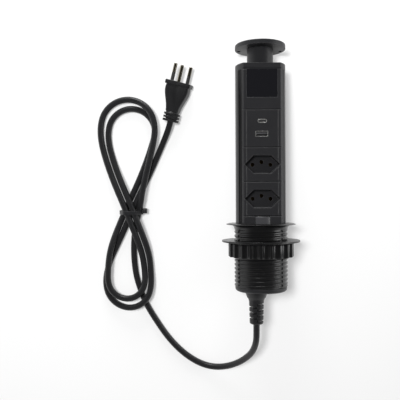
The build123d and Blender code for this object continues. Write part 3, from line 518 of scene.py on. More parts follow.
def turned(radius, height, angles):
    """Standing places of a turned surface: radius times sine and minus cosine of the angle, and height.

    The angle is counted from the tower's front. Radius and height are arrays of rows by angles.
    """
    radius, height = np.broadcast_arrays(radius, height)
    return np.stack([radius * np.sin(angles), -radius * np.cos(angles), height], axis=-1)


def signed_power(value, power):
    """A sine or cosine, its size raised to a power and its sign kept."""
    return np.sign(value) * np.abs(np.round(value, rounded_digits)) ** power


def superellipsoid(centre, half_sizes, power, half_turn_steps, axes):
    """A rounded box: its half sizes times signed powers of the sines and cosines of two angles."""
    across = np.linspace(-math.pi, math.pi, 2 * half_turn_steps, endpoint=False)
    upward = np.linspace(-math.pi / 2, math.pi / 2, half_turn_steps + 1)
    across, upward = np.meshgrid(across, upward)
    level = signed_power(np.cos(upward), power)
    ahead, aside = signed_power(np.cos(across), power), signed_power(np.sin(across), power)
    shares = np.stack([level * ahead, level * aside, signed_power(np.sin(upward), power)], axis=-1)
    return sheet_of(centre + (shares * half_sizes) @ axes, wrap_columns=True)


# Shader groups


def new_group(name, inputs, outputs):
    """An empty shader group with named sockets, its input and its output node."""
    tree = bpy.data.node_groups.new(name, "ShaderNodeTree")
    for label, kind, value in inputs:
        socket = tree.interface.new_socket(label, in_out="INPUT", socket_type=kind)
        socket.default_value = value
    for label, kind in outputs:
        tree.interface.new_socket(label, in_out="OUTPUT", socket_type=kind)
    return tree, tree.nodes.new("NodeGroupInput"), tree.nodes.new("NodeGroupOutput")


def add(tree, kind, values=(), **settings):
    """A node with its settings, and values set on its input sockets by name or number."""
    node = tree.nodes.new(kind)
    for key, value in settings.items():
        setattr(node, key, value)
    for key, value in dict(values).items():
        node.inputs[key].default_value = value
    return node


def maths(tree, operation, first, second):
    """A Math node on two sockets or numbers, and its result."""
    node = add(tree, "ShaderNodeMath", operation=operation)
    for socket, value in zip(node.inputs, (first, second)):
        if isinstance(value, (int, float)):
            socket.default_value = value
        else:
            tree.links.new(value, socket)
    return node.outputs[0]


def noise(tree, vector, scale, detail=3.0, roughness=0.5):
    """A noise texture at a scale that is a number or a socket, and its factor."""
    node = add(tree, "ShaderNodeTexNoise", {"Detail": detail, "Roughness": roughness})
    tree.links.new(vector, node.inputs["Vector"])
    if isinstance(scale, (int, float)):
        node.inputs["Scale"].default_value = scale
    else:
        tree.links.new(scale, node.inputs["Scale"])
    return node.outputs["Fac"]


def edge_wear_and_highlight_group():
    """How far an edge pales, as wear and as a painted highlight: one less the cosine between the bevelled and the
    true normal.
    """
    inputs = [("Edge Width", "NodeSocketFloat", 0.3 * MM), ("Wear", "NodeSocketFloat", 0.5)]
    outputs = [("Mask", "NodeSocketFloat"), ("Normal", "NodeSocketVector")]
    tree, entry, leave = new_group("edge wear", inputs, outputs)
    bevel = add(tree, "ShaderNodeBevel", samples=bevel_samples)
    tree.links.new(entry.outputs["Edge Width"], bevel.inputs["Radius"])
    geometry = add(tree, "ShaderNodeNewGeometry")
    facing = add(tree, "ShaderNodeVectorMath", operation="DOT_PRODUCT")
    tree.links.new(bevel.outputs["Normal"], facing.inputs[0])
    tree.links.new(geometry.outputs["Normal"], facing.inputs[1])
    bend = maths(tree, "SUBTRACT", 1.0, facing.outputs["Value"])
    place = add(tree, "ShaderNodeTexCoord")
    patches = noise(tree, place.outputs["Object"], edge_mark_patches, detail=4.0)
    spread = add(tree, "ShaderNodeMapRange", {"From Min": lean_at_first, "From Max": lean_when_full})
    tree.links.new(bend, spread.inputs["Value"])
    rubbed = maths(tree, "MULTIPLY", spread.outputs["Result"], patches)
    mask = maths(tree, "MULTIPLY", rubbed, entry.outputs["Wear"])
    tree.links.new(mask, leave.inputs["Mask"])
    tree.links.new(bevel.outputs["Normal"], leave.inputs["Normal"])


def grain_group():
    """A moulded or blasted surface: fine noise as height, and slow noise as a change of roughness.

    The pattern is turned so that its second axis runs up the tower, which Stretch can draw it along.
    """
    inputs = [
        ("Grain Size", "NodeSocketFloat", 0.4 * MM),
        ("Grain Depth", "NodeSocketFloat", 0.02 * MM),
        ("Roughness", "NodeSocketFloat", 0.45),
        ("Roughness Change", "NodeSocketFloat", 0.12),
        ("Stretch", "NodeSocketVector", (1.0, 1.0, 1.0)),
        ("Edge Normal", "NodeSocketVector", (0.0, 0.0, 0.0)),
    ]
    outputs = [
        ("Roughness", "NodeSocketFloat"),
        ("Normal", "NodeSocketVector"),
        ("Patches", "NodeSocketFloat"),
    ]
    tree, entry, leave = new_group("surface grain", inputs, outputs)
    place = add(tree, "ShaderNodeTexCoord")
    lean = math.atan2(tower_up[2], tower_up[1])
    turn = add(tree, "ShaderNodeMapping", {"Rotation": (-lean, 0.0, 0.0)})
    tree.links.new(place.outputs["Object"], turn.inputs["Vector"])
    stretch = add(tree, "ShaderNodeVectorMath", operation="MULTIPLY")
    tree.links.new(turn.outputs["Vector"], stretch.inputs[0])
    tree.links.new(entry.outputs["Stretch"], stretch.inputs[1])
    fineness = maths(tree, "DIVIDE", 1.0, entry.outputs["Grain Size"])
    grain = noise(tree, stretch.outputs["Vector"], fineness, detail=3.0, roughness=0.6)
    bump = add(tree, "ShaderNodeBump", {"Strength": 1.0})
    tree.links.new(grain, bump.inputs["Height"])
    tree.links.new(entry.outputs["Grain Depth"], bump.inputs["Distance"])
    tree.links.new(entry.outputs["Edge Normal"], bump.inputs["Normal"])
    patches = noise(tree, stretch.outputs["Vector"], drift_patches, detail=2.0)
    centred = maths(tree, "SUBTRACT", patches, 0.5)
    shift = maths(tree, "MULTIPLY", centred, entry.outputs["Roughness Change"])
    rough = maths(tree, "ADD", entry.outputs["Roughness"], shift)
    tree.links.new(rough, leave.inputs["Roughness"])
    tree.links.new(bump.outputs["Normal"], leave.inputs["Normal"])
    tree.links.new(patches, leave.inputs["Patches"])


def tint_group():
    """A colour that drifts a little in patches and turns paler at edges, partly as wear and partly as a painted
    highlight.
    """
    inputs = [
        ("Colour", "NodeSocketColor", (0.02, 0.02, 0.02, 1.0)),
        ("Rubbed Colour", "NodeSocketColor", (0.08, 0.08, 0.08, 1.0)),
        ("Patches", "NodeSocketFloat", 0.5),
        ("Drift", "NodeSocketFloat", usual_drift),
        ("Mask", "NodeSocketFloat", 0.0),
    ]
    tree, entry, leave = new_group("tint", inputs, [("Colour", "NodeSocketColor")])
    centred = maths(tree, "SUBTRACT", entry.outputs["Patches"], 0.5)
    brightness = maths(tree, "ADD", maths(tree, "MULTIPLY", centred, entry.outputs["Drift"]), 1.0)
    drifted = add(tree, "ShaderNodeVectorMath", operation="SCALE")
    tree.links.new(entry.outputs["Colour"], drifted.inputs[0])
    tree.links.new(brightness, drifted.inputs["Scale"])
    mixed = add(tree, "ShaderNodeMix", data_type="RGBA")
    tree.links.new(entry.outputs["Mask"], mixed.inputs["Factor"])
    tree.links.new(drifted.outputs["Vector"], mixed.inputs["A"])
    tree.links.new(entry.outputs["Rubbed Colour"], mixed.inputs["B"])
    tree.links.new(mixed.outputs["Result"], leave.inputs["Colour"])


# Finishes


def slot_colour(slot):
    """The record's colour of a material slot, with an alpha of one."""
    return (*next(m["base_color"] for m in frame["record"]["materials"] if m["slot"] == slot), 1.0)


def place_group(tree, name, links=(), **values):
    """A shader group in a material, with its own values and links to its inputs."""
    node = add(tree, "ShaderNodeGroup", node_tree=bpy.data.node_groups[name])
    for key, value in values.items():
        node.inputs[key.replace("_", " ").title()].default_value = value
    for key, socket in dict(links).items():
        tree.links.new(socket, node.inputs[key])
    return node


def finish_material(name, colour, rubbed, look):
    """A finish: drifting colour, edges paled by wear and by a painted highlight, and a grain, on one Principled
    shader.

    The look holds the shader's own values, and the groups' values by the names of their inputs.
    """
    material = bpy.data.materials.new(name)
    material.use_nodes = True
    tree = material.node_tree
    shader = tree.nodes["Principled BSDF"]
    for key, value in look.get("shader", {}).items():
        shader.inputs[key].default_value = value
    wear = place_group(tree, "edge wear", **look["edge"])
    grain = place_group(tree, "surface grain", {"Edge Normal": wear.outputs["Normal"]}, **look["grain"])
    links = {"Patches": grain.outputs["Patches"], "Mask": wear.outputs["Mask"]}
    drift = look.get("drift", usual_drift)
    tint = place_group(tree, "tint", links, colour=colour, rubbed_colour=rubbed, drift=drift)
    tree.links.new(tint.outputs["Colour"], shader.inputs["Base Color"])
    tree.links.new(grain.outputs["Roughness"], shader.inputs["Roughness"])
    tree.links.new(grain.outputs["Normal"], shader.inputs["Normal"])
    return material


def paler(colour, share):
    """A colour moved a share of the way to white."""
    return tuple(part + share * (1 - part) for part in colour[:3]) + (1.0,)


# Every finish: its colour's property, how far its edges go to white as wear and as a painted highlight, and its
# look
finish_looks = {
    # The moulding's wide, pale edges are a painted highlight of light catching the tiles' edges, on top of wear
    "satin moulding": ("moulding", 0.14, {
        "shader": {"Specular IOR Level": 0.35},
        "grain": {"grain_size": 0.30 * MM, "grain_depth": 0.006 * MM, "roughness": 0.42},
        "edge": {"edge_width": 0.60 * MM, "wear": 0.9},
    }),
    "anodised profile": ("profile", 0.10, {
        "shader": {"Metallic": 1.0},
        "grain": {"grain_size": 0.25 * MM, "grain_depth": 0.005 * MM, "roughness": 0.36,
                  "stretch": (1.0, 0.03, 1.0)},
        "edge": {"edge_width": 0.25 * MM, "wear": 0.7},
    }),
    "polished panel": ("gloss", 0.03, {
        "shader": {"Coat Weight": 0.3, "Coat Roughness": 0.03},
        "grain": {"grain_size": 3.0 * MM, "grain_depth": 0.003 * MM, "roughness": 0.12,
                  "roughness_change": 0.05},
        "edge": {"edge_width": 0.25 * MM, "wear": 0.3},
        "drift": 0.1,
    }),
    "button moulding": ("button", 0.10, {
        "grain": {"grain_size": 0.25 * MM, "grain_depth": 0.006 * MM, "roughness": 0.34},
        "edge": {"edge_width": 0.35 * MM, "wear": 0.5},
    }),
    "nut moulding": ("nut", 0.06, {
        "grain": {"grain_size": 0.35 * MM, "grain_depth": 0.006 * MM, "roughness": 0.30},
        "edge": {"edge_width": 0.35 * MM, "wear": 0.6},
    }),
    "cord sheath": ("cord", 0.04, {
        "shader": {"Specular IOR Level": 0.4},
        "grain": {"grain_size": 0.30 * MM, "grain_depth": 0.006 * MM, "roughness": 0.40},
        "edge": {"edge_width": 0.20 * MM, "wear": 0.2},
        "drift": 0.35,
    }),
    "plated steel": ("steel", 0.3, {
        "shader": {"Metallic": 0.75},
        "grain": {"grain_size": 0.20 * MM, "grain_depth": 0.002 * MM, "roughness": 0.30},
        "edge": {"edge_width": 0.10 * MM, "wear": 0.3},
        "drift": 0.1,
    }),
    "dark screw": ("screw", 0.3, {
        "shader": {"Metallic": 1.0},
        "grain": {"grain_size": 0.15 * MM, "grain_depth": 0.003 * MM, "roughness": 0.32},
        "edge": {"edge_width": 0.10 * MM, "wear": 0.8},
    }),
    "rolled brass": ("brass", 0.2, {
        "shader": {"Metallic": 1.0},
        "grain": {"grain_size": 0.20 * MM, "grain_depth": 0.003 * MM, "roughness": 0.30,
                  "stretch": (1.0, 0.1, 1.0)},
        "edge": {"edge_width": 0.15 * MM, "wear": 0.5},
    }),
    "plated pin": ("pin", 0.3, {
        "shader": {"Metallic": 1.0},
        "grain": {"grain_size": 0.20 * MM, "grain_depth": 0.002 * MM, "roughness": 0.24},
        "edge": {"edge_width": 0.20 * MM, "wear": 0.3},
        "drift": 0.15,
    }),
    "pin sleeve": ("sleeve", 0.05, {
        "grain": {"grain_size": 0.25 * MM, "grain_depth": 0.004 * MM, "roughness": 0.45},
        "edge": {"edge_width": 0.15 * MM, "wear": 0.3},
    }),
    "pale nylon": ("insulator", 0.2, {
        "shader": {"Subsurface Weight": 0.1, "Subsurface Radius": (0.002, 0.0015, 0.001)},
        "grain": {"grain_size": 0.30 * MM, "grain_depth": 0.006 * MM, "roughness": 0.50},
        "edge": {"edge_width": 0.30 * MM, "wear": 0.3},
    }),
    "grey nylon": ("tongue", 0.1, {
        "grain": {"grain_size": 0.20 * MM, "grain_depth": 0.004 * MM, "roughness": 0.45},
        "edge": {"edge_width": 0.15 * MM, "wear": 0.3},
    }),
    "solder mask": ("board", 0.1, {
        "grain": {"grain_size": 0.50 * MM, "grain_depth": 0.006 * MM, "roughness": 0.28},
        "edge": {"edge_width": 0.10 * MM, "wear": 0.4},
    }),
    "dipped part": ("component", 0.1, {
        "grain": {"grain_size": 0.50 * MM, "grain_depth": 0.010 * MM, "roughness": 0.40},
        "edge": {"edge_width": 0.40 * MM, "wear": 0.4},
    }),
    "wire jacket": ("wire", 0.1, {
        "grain": {"grain_size": 0.30 * MM, "grain_depth": 0.005 * MM, "roughness": 0.45},
        "edge": {"edge_width": 0.10 * MM, "wear": 0.2},
    }),
}

# Which finish each material slot of the record takes
slot_finishes = {
    "black_plastic": "satin moulding",
    "tower_metal": "anodised profile",
    "gloss_black": "polished panel",
    "button_grey": "button moulding",
    "nut_plastic": "nut moulding",
    "cord_black": "cord sheath",
    "steel": "plated steel",
    "screw_steel": "dark screw",
    "brass": "rolled brass",
    "pin_brass": "plated pin",
    "sleeve_black": "pin sleeve",
    "insulator": "pale nylon",
    "tongue_grey": "grey nylon",
    "board_green": "solder mask",
    "component": "dipped part",
    "wire_jacket": "wire jacket",
}


def finish_for(slot):
    """The material of a slot's finish."""
    return bpy.data.materials[slot_finishes[slot]]


def dress(name, material):
    """A solid's material slots, all with one material."""
    mesh = frame["nodes"][name].data
    mesh.materials.clear()
    mesh.materials.append(material)


# Cord


def cord_spline(data, route):
    """The cord's own line in a curve: a NURBS spline with the route's points as control points."""
    spline = data.splines.new("NURBS")
    spline.points.add(len(route) - 1)
    spline.points.foreach_set("co", [part for point in route for part in (*point, 1.0)])
    spline.order_u = cord_order
    spline.use_endpoint_u = True


def cord_line():
    """Close points along the cord's spline, as the curve gives them with no bevel."""
    data = bpy.data.curves.new("cord_line", "CURVE")
    data.dimensions = "3D"
    data.resolution_u = line_steps
    cord_spline(data, cord_route())
    line = bpy.data.objects.new("cord_line", data)
    mesh = bpy.data.meshes.new_from_object(line)
    flat = np.zeros(len(mesh.vertices) * 3, np.float32)
    mesh.vertices.foreach_get("co", flat)
    bpy.data.meshes.remove(mesh)
    bpy.data.objects.remove(line)
    bpy.data.curves.remove(data)
    return flat.reshape(-1, 3).astype(float)


# Tie of the hank


def support_loop(places, reach, turns):
    """The outline a band takes round a bundle: the furthest place each way, plus the reach that way."""
    ways = np.stack([np.cos(turns), np.sin(turns)], axis=-1)
    furthest = places[np.argmax(places @ ways.T, axis=0)]
    return furthest + reach * ways, ways


def tie_parts(sizes):
    """The band round the waist of the hank, and its head with the tail through it, towards the tower.

    The band's line is the strands' outermost places at its middle, moved out by the cord's radius
    and half its own thickness. Its section is a rounded bar carried along that line.
    """
    line = cord_line()
    waist = line[np.abs(line[:, 1] - tie_y) < sizes.tie_width / 2][:, [0, 2]]
    turns = np.linspace(0, 2 * math.pi, tie_steps, endpoint=False)
    thick = sizes.tie_thickness
    loop, ways = support_loop(waist, cord_diameter / 2 + thick / 2 + tie_slack, turns)
    section = np.linspace(0, 2 * math.pi, tie_section_steps, endpoint=False)
    along = signed_power(np.cos(section), tie_band_powers[0]) * sizes.tie_width / 2
    out = signed_power(np.sin(section), tie_band_powers[1]) * thick / 2
    places = np.zeros((len(turns), len(section), 3))
    places[..., 0] = loop[:, :1] + ways[:, :1] * out
    places[..., 2] = loop[:, 1:] + ways[:, 1:] * out
    places[..., 1] = tie_y + along
    band = sheet_of(places, wrap_rows=True, wrap_columns=True)

    side = loop[0]
    half = np.array(tie_head) / 2
    centre = np.array([side[0] + half[0], tie_y + tie_head_shift, side[1] + tie_head_lift])
    mouth_place = centre + np.array([0, 0, half[2]])
    tail_half = np.array([thick / 2, tie_tail_share * sizes.tie_width, tie_tail / 2])
    tail_place = mouth_place + np.array([0, 0, tail_half[2]])
    blocks = [
        (centre, half, tie_head_power, tie_head_steps),
        (mouth_place, np.array(tie_mouth_shares) * half, tie_mouth_power, tie_mouth_steps),
        (tail_place, tail_half, tie_tail_power, tie_mouth_steps),
    ]
    return [band] + [superellipsoid(*block, axes=np.eye(3)) for block in blocks]


# Collar and ring nut


def columns_with(breaks, count):
    """Angles round the axis: even steps over a full turn from the back, and the breaks between them."""
    return np.unique(np.concatenate([np.linspace(-math.pi, math.pi, count + 1), breaks]))


def thread_tooth(turns):
    """The thread's height over its root, 0 to 1: a smooth step of how near the middle of a turn is."""
    nearness = 1 - np.abs(2 * (turns % 1) - 1)
    return smooth_step(nearness, *tooth_shares)


def mouth_breaks(bore):
    """Where the outline of the collar's mouth changes: the keyway's side and corner, and the flat's end."""
    side = math.atan2(keyway_half, keyway_depth)
    corner = math.atan2(keyway_half, mouth_flat)
    return side, corner, math.acos(mouth_flat / bore)


def keyed_mouth(angles, bore):
    """Radius of the collar's mouth: its bore, cut by the flat of the tiles and let out for the button.

    A flat at a distance has the radius distance over cosine, and the keyway's side at its half
    width has half width over sine.
    """
    side, corner, flat_end = mouth_breaks(bore)
    wide = np.abs(angles)
    cosine = np.cos(wide)
    sine = np.maximum(np.sin(wide), least_sine)
    zones = [wide <= side, wide <= corner, wide <= flat_end]
    return np.select(zones, [keyway_depth / cosine, keyway_half / sine, mouth_flat / cosine], bore)


def collar_parts(sizes):
    """The threaded collar as one closed surface: outside up, over the flange, down the mouth and bore.

    Outside, the radius is the crest less the thread's depth times what the tooth lacks. The tooth is
    read at the height over the pitch less the angle over a full turn, and the rows climb with it.
    Two long slots press the tooth to its root.
    """
    low, _ = heights("collar_tube")
    bore = radii("collar_tube", below=low + bore_reach)[0]
    crest = radii("collar_tube", below=low + crest_reach)[1]
    flange = radii("collar_tube")[1]
    pitch = sizes.thread_pitch
    half = sizes.slot_width / crest / 2
    ramp = slot_ramp_share * half
    breaks = [slot + side for slot in slot_angles for side in (-half - ramp, -half, half, half + ramp)]
    breaks += [sign * angle for sign in (-1, 1) for angle in mouth_breaks(bore)]
    angles = columns_with(breaks, collar_steps)

    first, last = low + collar_chamfer, -flange_fillet
    turn_share = angles / (2 * math.pi)
    turns = np.arange(math.floor(first / pitch) - 1, math.ceil(last / pitch) + 1, 1 / rows_per_turn)
    high = np.clip((turns[:, None] + turn_share) * pitch, first, last)
    tooth = thread_tooth(high / pitch - turn_share)
    for slot in slot_angles:
        tooth = tooth * smooth_step(np.abs(angles - slot), half, half + ramp)
    ends = smooth_step(high, last - thread_runout, last)
    ends = ends + smooth_step(-high, -first - thread_runout, -first)
    radius = crest - sizes.thread_depth * (1 - np.maximum(tooth, ends))

    bend = np.linspace(0, math.pi / 2, flange_fillet_steps)[1:]
    outline = list(zip(crest + flange_fillet * (1 - np.cos(bend)), -flange_fillet * (1 - np.sin(bend))))
    edge = flange - rim_round
    outline += [(edge, 0), (flange, rim_round), (flange, rim_high), (edge, rim_high + rim_round)]
    outline += [(flange - rim_slope, flange_thick), (bore + 2 * rim_round, flange_thick)]
    mouth = keyed_mouth(angles, bore)
    outline += [(mouth + rim_round, flange_thick), (mouth, flange_thick - rim_round), (mouth, mouth_low)]
    outline += [(bore, mouth_low), (bore, low), (crest - collar_chamfer, low)]
    rows = [radius] + [np.broadcast_to(reach, (1, len(angles))) for reach, _ in outline]
    levels = [high] + [np.full((1, len(angles)), level) for _, level in outline]
    places = turned(np.concatenate(rows), np.concatenate(levels), angles)
    return [sheet_of(laid(places), wrap_rows=True)]


def softened_min(first, second, blend):
    """The lesser of two values, with the crossing rounded over the blend."""
    share = np.clip(0.5 + (second - first) / (2 * blend), 0, 1)
    return second * (1 - share) + first * share - blend * share * (1 - share)


def nut_parts(sizes):
    """The ribbed nut: a radius that dips into round hollows, under a thin round rim.

    A hollow of radius s whose middle is at distance m has, at the angle a from it, the radius
    m cos a less the root of s squared less m sine a squared.
    """
    low, top = heights("lock_nut")
    bore = radii("lock_nut", below=low + bore_reach)[0]
    outer = radii("lock_nut", below=top)[1]
    spacing = 2 * math.pi / sizes.nut_ribs
    angles = np.linspace(0, 2 * math.pi, sizes.nut_ribs * rib_steps, endpoint=False)
    aside = (angles - nut_phase) % spacing - spacing / 2
    under = np.maximum(hollow_radius**2 - (hollow_place * np.sin(aside)) ** 2, 0)
    hollow = hollow_place * np.cos(aside) - np.sqrt(under)
    hollow = np.where(under > 0, hollow, outer + hollow_radius)
    reach = softened_min(np.full_like(hollow, outer), hollow, hollow_blend)
    shoulder = top - nut_rim
    edge, soft = 2 * nut_edge, nut_soft_share * nut_edge
    outline = [
        (bore, low), (reach - edge, low), (reach - soft, low + soft), (reach, low + edge),
        (reach, shoulder - edge), (reach - soft, shoulder - soft), (reach - edge, shoulder),
        (nut_rim_radius - nut_edge, shoulder), (nut_rim_radius, shoulder + nut_edge),
        (nut_rim_radius, top - nut_edge), (nut_rim_radius - nut_edge, top), (bore, top),
    ]
    radius = np.stack([np.broadcast_to(place, angles.shape) for place, _ in outline])
    levels = np.array([level for _, level in outline])[:, None]
    return [sheet_of(laid(turned(radius, levels, angles)), wrap_rows=True, wrap_columns=True)]


# Strain relief


def relief_outside(down):
    """Outside radius of the strain relief at depths under the cap.

    Its base is a plain disc, a hollow arc of the flare's radius leads in to the sleeve, the sleeve
    tapers straight, and a quarter round ends it.
    """
    rise = np.clip(relief_sleeve_start - down, 0, relief_flare)
    flared = relief_body + relief_flare - np.sqrt(relief_flare**2 - rise**2)
    base = np.minimum(flared, relief_base)
    taper = (down - relief_sleeve_start) / (relief_long - relief_sleeve_start)
    body = relief_body + (relief_tip - relief_body) * np.clip(taper, 0, 1)
    near = np.clip((down - relief_long) / relief_tip_round + 1, 0, 1)
    return np.where(rise > 0, base, body) - relief_tip_round * (1 - np.sqrt(1 - near**2))


def relief_parts(sizes):
    """The strain relief round the cord: outside down with its slots, up the bore, round its head.

    A slot is a band of depths in which the radius drops to the floor over one half of the circle,
    where the sine of the angle has the slot's side: 1 for the right and -1 for the left, in turn.
    """
    beside = [-relief_slot_end, relief_slot_end]
    angles = columns_with(beside + [relief_slot_end - math.pi, math.pi - relief_slot_end], relief_steps)
    pitch = sizes.relief_slot_pitch
    tops = relief_slot_start + pitch * np.arange(relief_slots)
    bottoms = tops + sizes.relief_slot_height
    first_rows = np.linspace(relief_first_share * relief_long, tops[0] - relief_edge, relief_base_rows)
    base_rows = np.concatenate([[relief_edge], first_rows])
    end_rows = np.linspace(bottoms[-1] + relief_edge, relief_long - relief_tip_round, relief_end_rows)
    tip_turns = np.linspace(0, math.pi / 2, relief_tip_rows)[1:]
    tip_rows = relief_long - relief_tip_round * (1 - np.sin(tip_turns))
    slot_rows = np.stack([tops, tops, bottoms, bottoms], axis=-1).ravel()
    down = np.concatenate([base_rows, slot_rows, end_rows, tip_rows])
    sides = (-1) ** np.arange(relief_slots)
    slot_sides = np.stack([0 * sides, sides, sides, 0 * sides], axis=-1).ravel()
    cut_side = np.concatenate([0 * base_rows, slot_sides, 0 * end_rows, 0 * tip_rows])
    in_slot = cut_side[:, None] * np.sin(angles) > math.sin(relief_slot_end) / 2
    radius = np.where(in_slot, relief_floor, relief_outside(down)[:, None])

    tip, head_top = heights("strain_relief")
    cap_level = tip + relief_long
    foot_level = head_top - relief_head_high
    bore = cord_diameter / 2 + relief_gap
    inside = [(bore, tip), (bore, head_top), (relief_head, head_top), (relief_head, foot_level),
              (relief_stem, foot_level), (relief_stem, cap_level), (relief_base - relief_edge, cap_level)]
    rows = [radius] + [np.full((1, len(angles)), reach) for reach, _ in inside]
    levels = np.concatenate([cap_level - down, [level for _, level in inside]])[:, None]
    places = turned(np.concatenate(rows), levels, angles)
    return [sheet_of(laid(places + np.array([middle("strain_relief")[0], 0, 0])), wrap_rows=True)]


# Plug


def hexagon_reach(turns, half_width, half_height, squareness):
    """Radius of a flat hexagon with soft corners: one over the norm of its three pairs of faces.

    The faces are the height's share and the two slanting sums of width and height. The higher the
    power of the norm, the harder the corners.
    """
    cosine, sine = np.cos(turns), np.sin(turns)
    flat = np.abs(sine) / half_height
    slants = [np.abs(cosine + sine) / half_width, np.abs(cosine - sine) / half_width]
    return sum(face**squareness for face in [flat] + slants) ** (-1 / squareness)


def plug_rim_rows(rim):
    """Sections of the plug's face and rim: the dish, the soft front edge, and the soft back edge."""
    dish_end, face_start, face_end = plug_dish_shares
    front_soft, back_soft, back_end = plug_edge_shares
    soft = plug_soft_share * plug_edge
    table = [
        (plug_dish, 0.0), (plug_dish, dish_end), (0.0, face_start), (0.0, face_end), (soft, front_soft),
        (plug_edge, 1.0), (rim - plug_edge, 1.0), (rim - soft, back_soft), (rim, back_end),
    ]
    half_sizes = np.array([plug_half_width, plug_half_height])
    return [(back, *(share * half_sizes), rim_squareness, 0.0) for back, share in table]


def plug_grip_rows(rim, grip):
    """Sections of the grip, from the rim to its rounded end, with cubics through the waist's shares."""
    stations, widths, depths = np.array(plug_waist_shares).T
    places = np.linspace(1, 0, grip_rows)
    wide = plug_half_width * np.polyval(np.polyfit(stations, widths, waist_degree), places)
    high = plug_half_height * np.polyval(np.polyfit(stations, depths, waist_degree), places)
    backs = grip - (grip - rim) * places
    rows = [(*row, grip_squareness, 0.0) for row in zip(backs, wide, high)]
    end = (grip + grip_end_edge_share * plug_edge, grip_end_share * wide[-1], grip_end_share * high[-1])
    return rows + [(*end, grip_squareness, grip_end_round_share)]


def plug_neck_rows(grip):
    """Sections of the neck: round, with an oval rib at every pitch, closed at the cord."""
    rows = []
    soft = plug_rib_soft_share * plug_edge
    for number in range(plug_ribs):
        top = grip + plug_rib_start + number * plug_rib_pitch
        bottom = top + plug_rib_thick
        neck = plug_neck - (plug_neck - plug_neck_tip) * (number + 0.5) / plug_ribs
        rows += [(top, neck, neck), (top, plug_rib_wide - soft, plug_rib_high - soft)]
        rows += [(top + soft, plug_rib_wide, plug_rib_high), (bottom - soft, plug_rib_wide, plug_rib_high)]
        rows += [(bottom, plug_rib_wide - soft, plug_rib_high - soft), (bottom, neck, neck)]
    rows += [(plug_long, plug_neck_tip, plug_neck_tip), (plug_long, 0.0, 0.0)]
    return [(*row, oval_squareness, 1.0) for row in rows]


def plug_parts(sizes):
    """The moulded plug: a hexagonal rim, a waisted grip, and an oval neck with oval ribs.

    Every row is a section at a distance behind the face. Its radius goes from the hexagon's to the
    oval's by the row's share of round.
    """
    rows = plug_rim_rows(sizes.plug_rim) + plug_grip_rows(sizes.plug_rim, sizes.plug_grip)
    rows += plug_neck_rows(sizes.plug_grip)
    back, width, depth, squareness, roundness = np.array(rows).T[:, :, None]
    turns = np.linspace(0, 2 * math.pi, plug_steps, endpoint=False)
    width, depth = np.maximum(width, tiny), np.maximum(depth, tiny)
    flat = hexagon_reach(turns, width, depth, squareness)
    oval = (np.cos(turns) ** 2 / width**2 + np.sin(turns) ** 2 / depth**2) ** -0.5
    reach = flat + (oval - flat) * roundness
    face, axes = plug_frame()
    places = np.stack(np.broadcast_arrays(reach * np.cos(turns), reach * np.sin(turns), -back), axis=-1)
    return [sheet_of(face + places @ axes, wrap_columns=True)]


# Screws and contacts


def cross_bar(across, along):
    """One bar of a screw's cross, 1 inside and 0 outside: one smooth step each way, multiplied."""
    narrow = 1 - smooth_step(np.abs(across), *cross_side_shares)
    return narrow * (1 - smooth_step(np.abs(along), *cross_end_shares))


def screw_part(x, y, top, head, shank, long):
    """A countersunk screw: its head's face sunk by a cross, a cone, a shank and a point.

    The cross is the greater of two bars, and the face is crowned by a power of the distance from its
    middle, both counted in shares of the head's radius.
    """
    turns = np.linspace(0, 2 * math.pi, screw_steps, endpoint=False)
    share = np.concatenate([np.linspace(0.0, screw_face_share, screw_face_rows), [1.0]])[:, None]
    right, back = share * np.cos(turns), share * np.sin(turns)
    cross = np.maximum(cross_bar(right, back), cross_bar(back, right))
    level = top - head * (cross_depth_share * cross + crown_share * share**crown_power)
    rest = [
        (screw_rim_share * head, top - screw_rim_drop_share * head), (shank, top - (head - shank)),
        (shank, top - long + shank), (0.0, top - long),
    ]
    rest_radius, rest_level = np.array(rest).T[:, :, None] * np.ones(len(turns))
    radius = np.concatenate([np.broadcast_to(share * head, level.shape), rest_radius])
    levels = np.concatenate([level, rest_level])
    places = np.stack([x + radius * np.cos(turns), y + radius * np.sin(turns), levels], axis=-1)
    return sheet_of(laid(places), wrap_columns=True)


def cap_screw_parts():
    """The two screws that hold the end cap, where the solids have them."""
    places = standing("cap_screws")
    low, top = heights("cap_screws")
    parts = []
    for side in (-1, 1):
        half = places[side * places[:, 0] > 0][:, :2]
        x, y = (half.min(axis=0) + half.max(axis=0)) / 2
        parts.append(screw_part(x, y, top, screw_head, screw_shank, top - low))
    return parts


def lip_part(name, corner, half_thick):
    """The rolled lip of an outlet's shell: a round bar carried along a rounded rectangle.

    The rectangle is a quarter circle at each corner of a smaller one, and the bar's section is a
    circle in the plane of the outward way and the tower's front.
    """
    places = standing(name)
    low, high = places.min(axis=0), places.max(axis=0)
    centre = (low + high) / 2
    inner = (high - low) / 2 - corner
    quarter = np.linspace(0, math.pi / 2, lip_corner_steps)
    turns = np.concatenate([quarter + side * math.pi / 2 for side in range(4)])
    ways = np.stack([np.cos(turns), np.sin(turns)], axis=-1)
    signs = np.repeat(np.array([(1, 1), (-1, 1), (-1, -1), (1, -1)]), len(quarter), axis=0)
    line = np.array([centre[0], centre[2]]) + signs * inner[[0, 2]] + ways * (corner - half_thick)
    round_way = np.linspace(0, 2 * math.pi, lip_section_steps, endpoint=False)
    spread = line[:, None, :] + ways[:, None, :] * half_thick * np.cos(round_way)[:, None]
    front = front_of("usb_plate") + half_thick - lip_proud - half_thick * np.sin(round_way)
    points = np.stack([spread[..., 0], np.broadcast_to(front, spread.shape[:2]), spread[..., 1]], axis=-1)
    return sheet_of(laid(points), wrap_rows=True, wrap_columns=True)


